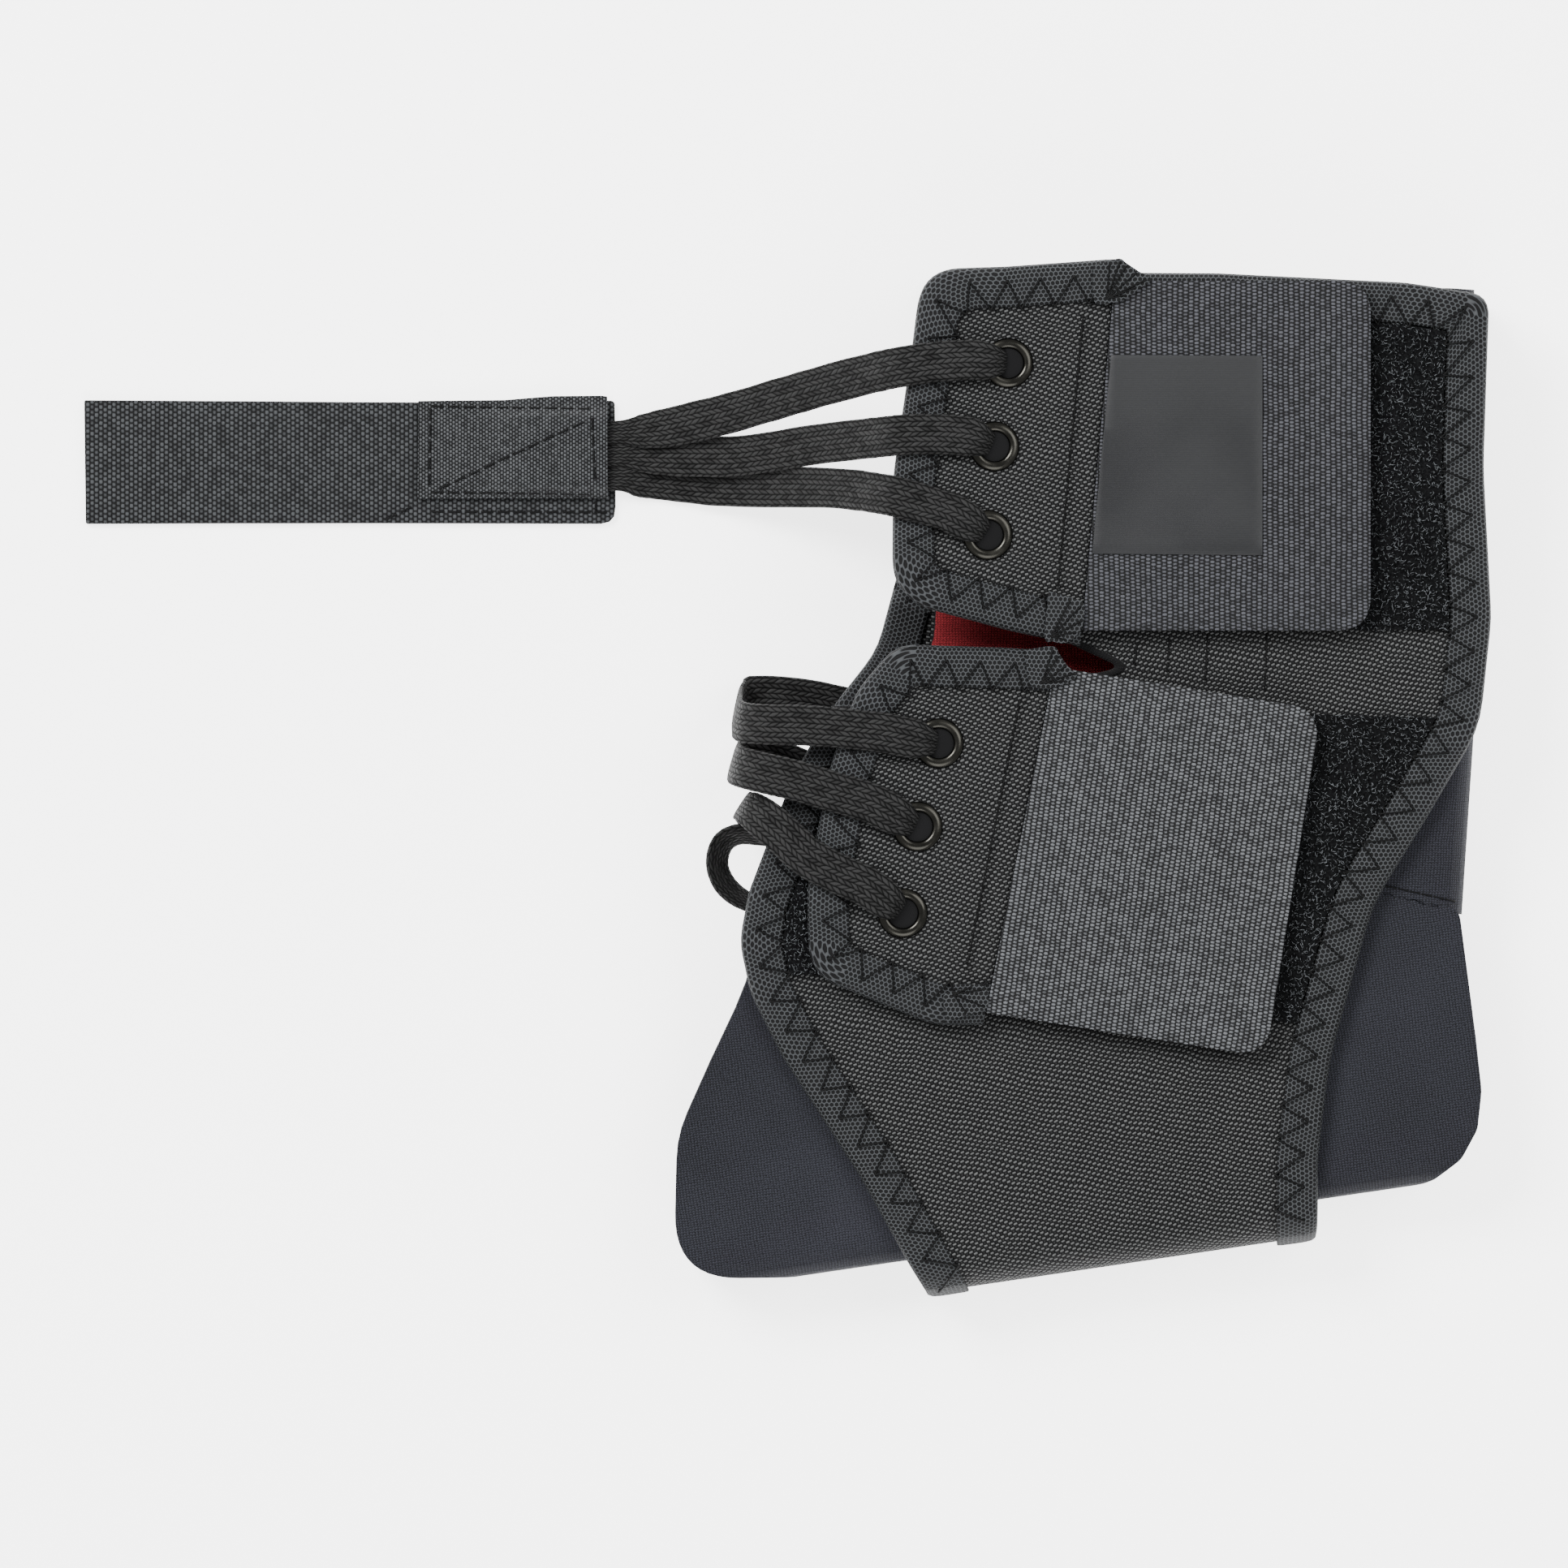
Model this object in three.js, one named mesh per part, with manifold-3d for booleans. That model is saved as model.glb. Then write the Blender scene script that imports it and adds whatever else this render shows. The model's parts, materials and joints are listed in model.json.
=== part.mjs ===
// Lace-up ankle brace lying on its side: near half on top, far half beneath, folded at the sole.
// Millimetres, +Z up. X runs from the toe side to the heel, Y up the leg.
import * as THREE from 'three';
import * as BufferGeometryUtils from 'three/addons/utils/BufferGeometryUtils.js';
import Module from 'manifold-3d';

const wasm = await Module();
wasm.setup();

// Driving sizes of the brace body
const braceWidth = 167;
const braceHeight = 213;
const soleFoldAngle = 8.4;
const soleFoldInset = 6.8;
const linerFoldInset = 7.3;

// Cloth thicknesses and the gap left between pieces
const clearance = 0.3;
const shellWall = 1.6;
const linerWall = 2.8;
const tapeWall = 0.6;
const bindingWidth = 7.6;
const flapWall = 1.6;
const labelWall = 0.35;

// The hollow for the ankle and the way the halves lift off the surface
const hollowAtSole = 5;
const hollowAtTop = 10;
const hollowBulge = 2;
const frontLift = 6;

// Hook tabs, label and eyelets
const upperTabWidth = 52.5;
const upperTabHeight = 71.5;
const lowerTabWidth = 55.3;
const lowerTabHeight = 72;
const lowerTabTilt = 9;
const tabCorner = 6;
const labelWidth = 31;
const labelHeight = 40.8;
const eyeletDiameter = 10.3;
const eyeletHole = 6.2;
const eyeletBarrelWall = 0.5;
const eyeletFlange = 0.5;
const eyeletRim = 0.9;
const eyeletRimHeight = 0.55;
const eyeletSides = 10;
const rimCrown = 0.6;

// Laces and the pull tab of hook webbing
const laceWidth = 8.3;
const laceThickness = 1.2;
const webbingWidth = 25.4;
const webbingLength = 109.5;
const webbingWall = 1.8;
const webbingCorner = 3;
const patchLength = 39;
const patchWidth = 20.5;
const patchWall = 1.2;
const pullTabReach = 122.2;
const webbingUp = 159.2;

// The whole part is centred on its width and height over the surface it lies on.
const braceLeft = pullTabReach / 2 - braceWidth / 2;
const braceBottom = -braceHeight / 2;
const across = (share) => braceLeft + share * braceWidth;
const upward = (share) => braceBottom + share * braceHeight;

// Depths outward (+) or inward (-) from the outer face of the shell
const tapeDepth = clearance + tapeWall;
const linerOuter = -(shellWall + tapeDepth + clearance);
const linerInner = linerOuter - linerWall;
const flapInner = 2 * (tapeDepth + clearance) - clearance;
const flapOuter = flapInner + flapWall;
const tabInner = flapInner;
const tabOuter = flapOuter + tapeDepth;
const pileInner = clearance;
const pileOuter = tabInner - clearance;
const labelInner = tabOuter + clearance;
const farShellLevel = tabOuter;

// Outlines: shares of braceWidth along and of braceHeight up, corner bends as shares of braceWidth
const shellOutline = [
  { along: 0.342, up: -0.047, bend: 0 },
  { along: 0.225, up: 0.118, bend: 0.2 },
  { along: 0.13, up: 0.233, bend: 0.2 },
  { along: 0.091, up: 0.293, bend: 0.12 },
  { along: 0.077, up: 0.344, bend: 0.09 },
  { along: 0.088, up: 0.391, bend: 0.1 },
  { along: 0.141, up: 0.5, bend: 0.2 },
  { along: 0.193, up: 0.572, bend: 0.2 },
  { along: 0.246, up: 0.625, bend: 0.12 },
  { along: 0.289, up: 0.75, bend: 0.3 },
  { along: 0.3, up: 0.87, bend: 0.3 },
  { along: 0.35, up: 0.968, bend: 0.07 },
  { along: 0.465, up: 0.988, bend: 0.15 },
  { along: 0.665, up: 0.987, bend: 0.3 },
  { along: 0.894, up: 0.978, bend: 0.15 },
  { along: 0.997, up: 0.966, bend: 0.028 },
  { along: 0.99, up: 0.8, bend: 0.4 },
  { along: 1, up: 0.655, bend: 0.2 },
  { along: 0.986, up: 0.551, bend: 0.15 },
  { along: 0.919, up: 0.461, bend: 0.3 },
  { along: 0.855, up: 0.38, bend: 0.2 },
  { along: 0.802, up: 0.231, bend: 0.4 },
  { along: 0.787, up: 0.134, bend: 0.2 },
  { along: 0.789, up: -0.031, bend: 0 },
];
const hemLine = [
  { along: 0.961, up: 0.375, bend: 0.02 },
  { along: 0.615, up: 0.437, bend: 0.4 },
  { along: 0.15, up: 0.465, bend: 0.02 },
];
const footLinerOutline = [
  { along: -0.004, up: 0.019, bend: 0.125 },
  { along: 0, up: 0.156, bend: 0.15 },
  { along: 0.041, up: 0.228, bend: 0.3 },
  { along: 0.087, up: 0.304, bend: 0.3 },
  { along: 0.111, up: 0.391, bend: 0.2 },
  ...[...hemLine].reverse(),
  { along: 0.982, up: 0.242, bend: 0.4 },
  { along: 0.992, up: 0.16, bend: 0.08 },
  { along: 0.924, up: 0.113, bend: 0.08 },
  { along: 0.854, up: 0.094, bend: 0.06 },
  { along: 0.764, up: 0, bend: 0 },
  { along: 0.295, up: -0.016, bend: 0 },
  { along: 0.166, up: 0.02, bend: 0 },
];
const backFoldAlong = 0.981;
const backFoldAtHem = 0.966;
const hemUp = 0.37;
const backFoldLean = 0.08;
const backFoldLeansBelow = 0.5;
const ankleLinerOutline = [
  { along: backFoldAlong, up: 0.972, bend: 0.02 },
  { along: backFoldAlong, up: 0.55, bend: 0 },
  { along: backFoldAtHem, up: hemUp, bend: 0 },
  ...hemLine.slice(1),
  { along: 0.206, up: 0.5, bend: 0.1 },
  { along: 0.255, up: 0.563, bend: 0.2 },
  { along: 0.315, up: 0.625, bend: 0.1 },
  { along: 0.325, up: 0.782, bend: 0.3 },
  { along: 0.34, up: 0.954, bend: 0.04 },
  { along: 0.465, up: 0.972, bend: 0.1 },
];
const wingNotch = [
  { along: 0.545, up: 0.608, bend: 0.006 },
  { along: 0.465, up: 0.637, bend: 0.1 },
  { along: 0.325, up: 0.668, bend: 0.1 },
  { along: 0.2, up: 0.7, bend: 0 },
  { along: 0.16, up: 0.575, bend: 0 },
  { along: 0.3, up: 0.57, bend: 0.1 },
  { along: 0.47, up: 0.594, bend: 0.1 },
];
const upperFlapOutline = [
  { along: 0.645, up: 1, bend: 0 },
  { along: 0.53, up: 1, bend: 0.1 },
  { along: 0.405, up: 0.993, bend: 0.1 },
  { along: 0.301, up: 0.99, bend: 0.08 },
  { along: 0.289, up: 0.915, bend: 0.2 },
  { along: 0.266, up: 0.794, bend: 0.3 },
  { along: 0.265, up: 0.673, bend: 0.07 },
  { along: 0.408, up: 0.643, bend: 0.2 },
  { along: 0.6, up: 0.61, bend: 0 },
];
const upperFlapEnd = [{ along: 0.536, up: 0.979 }, { along: 0.496, up: 0.643 }];
const lowerFlapOutline = [
  { along: 0.56, up: 0.62, bend: 0 },
  { along: 0.395, up: 0.627, bend: 0.1 },
  { along: 0.27, up: 0.63, bend: 0.05 },
  { along: 0.221, up: 0.586, bend: 0.1 },
  { along: 0.186, up: 0.508, bend: 0.3 },
  { along: 0.16, up: 0.395, bend: 0.2 },
  { along: 0.163, up: 0.313, bend: 0.06 },
  { along: 0.315, up: 0.264, bend: 0.1 },
  { along: 0.46, up: 0.264, bend: 0 },
];
const lowerFlapEnd = [{ along: 0.463, up: 0.608 }, { along: 0.379, up: 0.277 }];
const upperPileOutline = [
  { along: 0.58, up: 0.945, bend: 0 },
  { along: 1, up: 0.945, bend: 0 },
  { along: 1, up: 0.644, bend: 0 },
  { along: 0.58, up: 0.644, bend: 0 },
];
const lowerPileOutline = [
  { along: 0.49, up: 0.568, bend: 0 },
  { along: 0.96, up: 0.557, bend: 0 },
  { along: 0.96, up: 0.241, bend: 0 },
  { along: 0.45, up: 0.3, bend: 0 },
];
const frontPileOutline = [
  { along: 0.1, up: 0.56, bend: 0 },
  { along: 0.42, up: 0.56, bend: 0 },
  { along: 0.4, up: 0.31, bend: 0 },
  { along: 0.1, up: 0.31, bend: 0 },
];
const upperEyelets = [{ along: 0.406, up: 0.9 }, { along: 0.389, up: 0.82 }, { along: 0.381, up: 0.735 }];
const lowerEyelets = [{ along: 0.321, up: 0.535 }, { along: 0.295, up: 0.455 }, { along: 0.277, up: 0.372 }];

// The cloth follows one common grid, so every layer keeps its gap to the next.
const gridAlong = [-0.06, 0.09, 0.2, 0.33, 0.455, 0.66, 0.86, 1.06];
const gridUp = [-0.08, 0.12, 0.25, 0.4, 0.6, 0.8, 1.06];
const liftEnd = 0.455;
const flatAbove = 0.12;
const fullLiftAbove = 0.4;
const stack = 2 * -linerInner;

const farFace = (along, up) => {
  const front = Math.max(0, (liftEnd - along) / liftEnd);
  const rise = THREE.MathUtils.clamp((up - flatAbove) / (fullLiftAbove - flatAbove), 0, 1);
  return farShellLevel + frontLift * front * rise;
};
const hollow = (along, up) => {
  const climb = Math.max(0, (up - flatAbove) / (1 - flatAbove));
  const crown = Math.sin(Math.PI * THREE.MathUtils.clamp(along, 0, 1))
    * Math.sin(Math.PI * Math.min(1, climb));
  return hollowAtSole + (hollowAtTop - hollowAtSole) * climb + hollowBulge * crown;
};
const nearFace = (along, up) => farFace(along, up) + stack + hollow(along, up);

// Solids
function solidFrom(geometry) {
  const plain = geometry.index ? geometry.toNonIndexed() : geometry.clone();
  for (const name of Object.keys(plain.attributes)) {
    if (name !== 'position') plain.deleteAttribute(name);
  }
  const merged = BufferGeometryUtils.mergeVertices(plain, 1e-4);
  const mesh = new wasm.Mesh({
    numProp: 3,
    vertProperties: new Float32Array(merged.attributes.position.array),
    triVerts: new Uint32Array(merged.index.array),
  });
  return new wasm.Manifold(mesh);
}

function geometryOf(solid) {
  const mesh = solid.getMesh();
  const geometry = new THREE.BufferGeometry();
  geometry.setAttribute('position', new THREE.BufferAttribute(new Float32Array(mesh.vertProperties), 3));
  geometry.setIndex(new THREE.BufferAttribute(new Uint32Array(mesh.triVerts), 1));
  geometry.computeVertexNormals();
  return geometry;
}

// A layer of the grid between two heights given at each knot
function layer(lowAt, highAt) {
  const columns = gridAlong.length;
  const rows = gridUp.length;
  const points = [];
  for (const heightAt of [lowAt, highAt]) {
    for (const up of gridUp) {
      for (const along of gridAlong) points.push(across(along), upward(up), heightAt(along, up));
    }
  }
  const low = (column, row) => row * columns + column;
  const high = (column, row) => low(column, row) + columns * rows;
  const faces = [];
  const quad = (a, b, c, d) => faces.push(a, b, c, a, c, d);
  for (let row = 0; row + 1 < rows; row += 1) {
    for (let column = 0; column + 1 < columns; column += 1) {
      quad(high(column, row), high(column + 1, row), high(column + 1, row + 1), high(column, row + 1));
      faces.push(low(column, row), low(column + 1, row + 1), low(column + 1, row));
      faces.push(low(column, row), low(column, row + 1), low(column + 1, row + 1));
    }
  }
  for (let column = 0; column + 1 < columns; column += 1) {
    quad(low(column, 0), low(column + 1, 0), high(column + 1, 0), high(column, 0));
    quad(low(column + 1, rows - 1), low(column, rows - 1),
      high(column, rows - 1), high(column + 1, rows - 1));
  }
  for (let row = 0; row + 1 < rows; row += 1) {
    quad(low(0, row + 1), low(0, row), high(0, row), high(0, row + 1));
    quad(low(columns - 1, row), low(columns - 1, row + 1),
      high(columns - 1, row + 1), high(columns - 1, row));
  }
  const geometry = new THREE.BufferGeometry();
  geometry.setAttribute('position', new THREE.Float32BufferAttribute(points, 3));
  geometry.setIndex(faces);
  return solidFrom(geometry);
}

const sides = { near: 'near', far: 'far' };
function sheetLayer(side, inner, outer) {
  if (side === sides.near) {
    return layer((a, u) => nearFace(a, u) + inner, (a, u) => nearFace(a, u) + outer);
  }
  return layer((a, u) => farFace(a, u) - outer, (a, u) => farFace(a, u) - inner);
}
const between = (depth) => layer((a, u) => farFace(a, u) - depth, (a, u) => nearFace(a, u) + depth);
const middleFace = (along, up) => (farFace(along, up) + nearFace(along, up)) / 2;
const nearHalf = () => layer(middleFace, (a, u) => nearFace(a, u) + stack);

// Outlines with rounded corners, grown or shrunk before their corners are rounded
const placed = (row) => new THREE.Vector2(across(row.along), upward(row.up));

function grownCorners(rows, grow) {
  const corners = rows.map((row) => ({ point: placed(row), bend: (row.bend ?? 0) * braceWidth }));
  const area = THREE.ShapeUtils.area(corners.map((corner) => corner.point));
  if (area < 0) corners.reverse();
  return corners.map((corner, index) => {
    const before = corners[(index + corners.length - 1) % corners.length].point;
    const after = corners[(index + 1) % corners.length].point;
    const arriving = corner.point.clone().sub(before).normalize();
    const leaving = after.clone().sub(corner.point).normalize();
    const normalIn = new THREE.Vector2(arriving.y, -arriving.x);
    const normalOut = new THREE.Vector2(leaving.y, -leaving.x);
    const miter = normalIn.clone().add(normalOut);
    miter.multiplyScalar(grow / (1 + normalIn.dot(normalOut)));
    const turn = arriving.cross(leaving);
    const bend = corner.bend === 0 ? 0 : Math.max(clearance, corner.bend + Math.sign(turn) * grow);
    return { point: corner.point.clone().add(miter), bend };
  });
}

const arcStep = THREE.MathUtils.degToRad(32);
function roundedPath(corners) {
  const path = [];
  corners.forEach((corner, index) => {
    const before = corners[(index + corners.length - 1) % corners.length].point;
    const after = corners[(index + 1) % corners.length].point;
    const toBefore = before.clone().sub(corner.point);
    const toAfter = after.clone().sub(corner.point);
    const room = 0.48 * Math.min(toBefore.length(), toAfter.length());
    toBefore.normalize();
    toAfter.normalize();
    const opening = Math.acos(THREE.MathUtils.clamp(toBefore.dot(toAfter), -1, 1));
    const reach = Math.min(room, corner.bend / Math.tan(opening / 2));
    if (reach < clearance) {
      path.push(corner.point);
      return;
    }
    const start = corner.point.clone().addScaledVector(toBefore, reach);
    const end = corner.point.clone().addScaledVector(toAfter, reach);
    const curve = new THREE.QuadraticBezierCurve(start, corner.point, end);
    path.push(...curve.getPoints(Math.max(1, Math.ceil((Math.PI - opening) / arcStep))));
  });
  return path;
}

// Cutters reach well past the whole stack of layers.
const prismReach = 2 * (farShellLevel + stack + hollowAtTop + hollowBulge + frontLift + tabOuter);
function prismOfPath(path) {
  const geometry = new THREE.ExtrudeGeometry(new THREE.Shape(path), {
    depth: 2 * prismReach, bevelEnabled: false, steps: 1,
  });
  geometry.translate(0, 0, -prismReach);
  return solidFrom(geometry);
}
const prism = (rows, grow = 0) => prismOfPath(roundedPath(grownCorners(rows, grow)));

// Everything on one side of a line that runs down the end of a flap
function beyondEnd(end, gap, side) {
  const [top, bottom] = end.map(placed);
  const down = bottom.clone().sub(top).normalize();
  const out = new THREE.Vector2(-down.y, down.x);
  const start = top.clone().addScaledVector(down, -braceHeight).addScaledVector(out, gap);
  const finish = bottom.clone().addScaledVector(down, braceHeight).addScaledVector(out, gap);
  const away = out.clone().multiplyScalar(side * braceWidth);
  return prismOfPath([start, finish, finish.clone().add(away), start.clone().add(away)]);
}

// A block with a round nose along a fold. Each station gives the nose's tip, the half height and middle
// of the fold's outer curve; depth shrinks it inward (+) to reach the inner curve of a wall.
const noseSteps = 6;
const noseShape = 0.85;
function noseProfile(station, depth) {
  const halfHeight = station.halfHeight - depth;
  const tip = depth;
  const flat = tip + halfHeight * noseShape;
  const rows = [[braceHeight * 1.5, -prismReach], [braceHeight * 1.5, prismReach], [flat, prismReach]];
  for (let step = 0; step <= noseSteps; step += 1) {
    const angle = Math.PI / 2 - (Math.PI * step) / noseSteps;
    rows.push([flat - halfHeight * noseShape * Math.cos(angle), halfHeight * Math.sin(angle)]);
  }
  rows.push([flat, -prismReach]);
  return rows.map(([inward, height]) => ({ inward, height: height + station.middle }));
}

function foldPrism(stations, inward, depth) {
  const profiles = stations.map((station) => noseProfile(station, depth).map((row) => new THREE.Vector3(
    station.tip.x + inward.x * row.inward, station.tip.y + inward.y * row.inward, row.height)));
  const cap = noseProfile(stations[0], depth).map((row) => new THREE.Vector2(row.inward, row.height));
  return loft(profiles, cap);
}

// A skin through closed sections with as many points each, capped at both ends
function loft(sections, capOutline) {
  const count = sections[0].length;
  const faces = [];
  for (let station = 0; station + 1 < sections.length; station += 1) {
    for (let index = 0; index < count; index += 1) {
      const a = station * count + index;
      const b = station * count + ((index + 1) % count);
      faces.push(a, b, b + count, a, b + count, a + count);
    }
  }
  const last = (sections.length - 1) * count;
  const clockwise = THREE.ShapeUtils.isClockWise(capOutline);
  for (const [a, b, c] of THREE.ShapeUtils.triangulateShape(capOutline, [])) {
    const face = clockwise ? [a, b, c] : [a, c, b];
    faces.push(...face, last + face[0], last + face[2], last + face[1]);
  }
  const geometry = new THREE.BufferGeometry();
  geometry.setFromPoints(sections.flat());
  geometry.setIndex(faces);
  let solid = solidFrom(geometry);
  if (solid.volume() < 0) {
    geometry.setIndex(faces.slice().reverse());
    solid = solidFrom(geometry);
  }
  return solid;
}

// The sole fold is straight; the back fold of the ankle liner climbs with the hollow.
const foldTurn = THREE.MathUtils.degToRad(soleFoldAngle);
const soleInward = new THREE.Vector3(-Math.sin(foldTurn), Math.cos(foldTurn), 0);
const soleAlong = new THREE.Vector3(Math.cos(foldTurn), Math.sin(foldTurn), 0);
const soleMiddleAlong = 0.546;
const soleHalfHeight = (stack + hollowAtSole) / 2;

function soleStations(inset, depth) {
  const middle = new THREE.Vector3(across(soleMiddleAlong), braceBottom + soleFoldInset, 0);
  return [-1, 1].map((end) => ({
    tip: middle.clone().addScaledVector(soleAlong, end * braceWidth).addScaledVector(soleInward, inset),
    halfHeight: soleHalfHeight + depth,
    middle: farShellLevel + soleHalfHeight,
  }));
}

function backStations() {
  const column = gridAlong.length - 2;
  const share = (backFoldAlong - gridAlong[column]) / (gridAlong[column + 1] - gridAlong[column]);
  const onGrid = (heightAt, up) => THREE.MathUtils.lerp(
    heightAt(gridAlong[column], up), heightAt(gridAlong[column + 1], up), share);
  return gridUp.slice(2).map((up) => {
    const along = up < backFoldLeansBelow ? backFoldAtHem + (up - hemUp) * backFoldLean : backFoldAlong;
    const top = onGrid(nearFace, up) + linerOuter;
    const bottom = onGrid(farFace, up) - linerOuter;
    return {
      tip: new THREE.Vector3(across(along), upward(up), 0),
      halfHeight: (top - bottom) / 2,
      middle: (top + bottom) / 2,
    };
  });
}

// A folded sheet: outer block less inner block, both with round noses on the fold
function foldedSheet(fold, outer, inner) {
  const outside = between(outer).intersect(foldPrism(fold.stations, fold.inward, fold.surface - outer));
  const inside = between(inner).intersect(foldPrism(fold.stations, fold.inward, fold.surface - inner));
  return outside.subtract(inside);
}

const shellFold = { stations: soleStations(0, 0), inward: soleInward, surface: 0 };
const linerFold = {
  stations: soleStations(linerFoldInset, linerOuter), inward: soleInward, surface: linerOuter,
};
const backFold = { stations: backStations(), inward: new THREE.Vector3(-1, 0, 0), surface: linerOuter };

const notchCut = prism(wingNotch).intersect(nearHalf());
const notchCutWide = prism(wingNotch, clearance).intersect(nearHalf());

const shellSolid = foldedSheet(shellFold, 0, -shellWall)
  .intersect(prism(shellOutline, -tapeDepth))
  .subtract(notchCut);

const tapeRing = prism(shellOutline).subtract(prism(shellOutline, -(tapeDepth + bindingWidth)));
const tapeRoom = foldedSheet(shellFold, clearance, -(shellWall + clearance))
  .intersect(prism(shellOutline, -tapeWall));
const shellBindingSolid = foldedSheet(shellFold, tapeDepth, -(shellWall + tapeDepth))
  .intersect(tapeRing)
  .subtract(tapeRoom)
  .subtract(notchCut);

const footLinerSolid = foldedSheet(linerFold, linerOuter, linerInner)
  .intersect(prism(footLinerOutline));
const hemGap = prism(footLinerOutline, clearance);
const ankleLinerSolid = foldedSheet(backFold, linerOuter, linerInner)
  .intersect(prism(ankleLinerOutline))
  .subtract(hemGap)
  .subtract(notchCutWide);

// Materials
const cloth = (color, roughness = 0.9) => new THREE.MeshStandardMaterial({ color, roughness, metalness: 0 });
const nylon = () => cloth(0x424445, 0.75);
const tape = () => cloth(0x3a3c3f, 0.8);
const neoprene = () => cloth(0x33353a, 0.85);
const pile = () => cloth(0x212324, 0.98);
const hookBacking = (near) => cloth(near ? 0x5b5d61 : 0x4d4e52, 0.7);
const braid = () => cloth(0x373736, 0.85);
const webbing = () => cloth(0x434547, 0.8);
const gunmetal = () => new THREE.MeshStandardMaterial({ color: 0x57574e, roughness: 0.3, metalness: 0.9 });

const brace = new THREE.Group();
function addPiece(name, geometry, material) {
  const mesh = new THREE.Mesh(geometry, material);
  mesh.name = name;
  brace.add(mesh);
  return mesh;
}
const addSolid = (name, solid, material) => addPiece(name, geometryOf(solid), material);

addSolid('shell', shellSolid, nylon());
addSolid('shell_binding', shellBindingSolid, tape());
addSolid('foot_liner', footLinerSolid, neoprene());
addSolid('ankle_liner', ankleLinerSolid, neoprene());

const wings = [
  { name: 'upper', outline: upperFlapOutline, end: upperFlapEnd, eyelets: upperEyelets,
    tabWidth: upperTabWidth, tabHeight: upperTabHeight, tabTilt: 0 },
  { name: 'lower', outline: lowerFlapOutline, end: lowerFlapEnd, eyelets: lowerEyelets,
    tabWidth: lowerTabWidth, tabHeight: lowerTabHeight, tabTilt: lowerTabTilt },
];

// Where a flap's nylon lies, the pile under it is pressed down clear of its tape.
function pressedUnder(side, wing) {
  return sheetLayer(side, flapInner - tapeDepth - clearance, flapOuter)
    .intersect(prism(wing.outline, clearance))
    .intersect(beyondEnd(wing.end, clearance, -1));
}

// Loop pile patches lie inside the tape.
const insideTape = prism(shellOutline, -(tapeDepth + bindingWidth + clearance));
const piles = [
  { name: 'upper_pile', outline: upperPileOutline, on: [sides.near, sides.far] },
  { name: 'lower_pile', outline: lowerPileOutline, on: [sides.near, sides.far] },
  { name: 'front_pile', outline: frontPileOutline, on: [sides.near] },
];
for (const patch of piles) {
  for (const side of patch.on) {
    let solid = sheetLayer(side, pileInner, pileOuter).intersect(prism(patch.outline)).intersect(insideTape);
    if (side === sides.near) solid = solid.subtract(notchCutWide);
    for (const wing of wings) solid = solid.subtract(pressedUnder(side, wing));
    addSolid(`${side}_${patch.name}`, solid, pile());
  }
}

// Each wing's flap: nylon with a taped edge and a row of eyelets, then the hook tab past its end line
const barrelRadius = eyeletHole / 2 + eyeletBarrelWall;
function holesAt(places) {
  return places.map((place) => {
    const radius = barrelRadius + clearance;
    const geometry = new THREE.CylinderGeometry(radius, radius, 2 * prismReach, eyeletSides + 4);
    geometry.rotateX(Math.PI / 2);
    geometry.translate(across(place.along), upward(place.up), 0);
    return solidFrom(geometry);
  });
}

function tabRows(end, width, height, tilt) {
  const corner = placed(end[0]);
  const turn = -THREE.MathUtils.degToRad(tilt);
  const local = [[-width, 0], [width, 0], [width, -height], [-width, -height]];
  return local.map(([x, y]) => {
    const point = new THREE.Vector2(x, y).rotateAround(new THREE.Vector2(), turn).add(corner);
    return { along: (point.x - braceLeft) / braceWidth, up: (point.y - braceBottom) / braceHeight,
      bend: tabCorner / braceWidth };
  });
}

function addFlap(side, wing) {
  const { outline, end, eyelets } = wing;
  const holes = holesAt(eyelets);
  const beforeEnd = beyondEnd(end, 0, -1);
  let wall = sheetLayer(side, flapInner, flapOuter)
    .intersect(prism(outline, -tapeDepth))
    .intersect(beforeEnd);
  for (const hole of holes) wall = wall.subtract(hole);
  addSolid(`${side}_${wing.name}_flap`, wall, nylon());

  const ring = prism(outline).subtract(prism(outline, -(tapeDepth + bindingWidth)));
  const room = sheetLayer(side, flapInner - clearance, flapOuter + clearance)
    .intersect(prism(outline, -tapeWall));
  const edge = sheetLayer(side, flapInner - tapeDepth, flapOuter + tapeDepth)
    .intersect(ring).intersect(beforeEnd).subtract(room);
  addSolid(`${side}_${wing.name}_flap_binding`, edge, tape());

  const tab = sheetLayer(side, tabInner, tabOuter)
    .intersect(prism(tabRows(end, wing.tabWidth, wing.tabHeight, wing.tabTilt)))
    .intersect(beyondEnd(end, clearance, 1));
  addSolid(`${side}_${wing.name}_hook_tab`, tab, hookBacking(wing.name === 'lower'));

  eyelets.forEach((place, index) => {
    const mesh = addPiece(`${side}_${wing.name}_eyelet_${index + 1}`, eyeletGeometry(), gunmetal());
    seatEyelet(mesh, side, place);
  });
}

// Eyelet: a barrel through the flap, a rolled rim on its face and a flat flange behind it
function eyeletGeometry() {
  const inner = eyeletHole / 2;
  const outer = eyeletDiameter / 2;
  const back = -(flapWall / 2 + clearance);
  const front = flapWall / 2 + clearance;
  const profile = [
    [inner, back - eyeletFlange], [outer - eyeletRim, back - eyeletFlange], [outer - eyeletRim, back],
    [barrelRadius, back], [barrelRadius, front], [outer, front],
    [outer - eyeletRim * rimCrown, front + eyeletRimHeight], [inner, front],
  ];
  const points = profile.map(([radius, height]) => new THREE.Vector2(radius, height));
  points.push(points[0].clone());
  const lathe = new THREE.LatheGeometry(points, eyeletSides);
  lathe.rotateX(Math.PI / 2);
  return geometryOf(outward(solidFrom(lathe), lathe));
}

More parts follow.
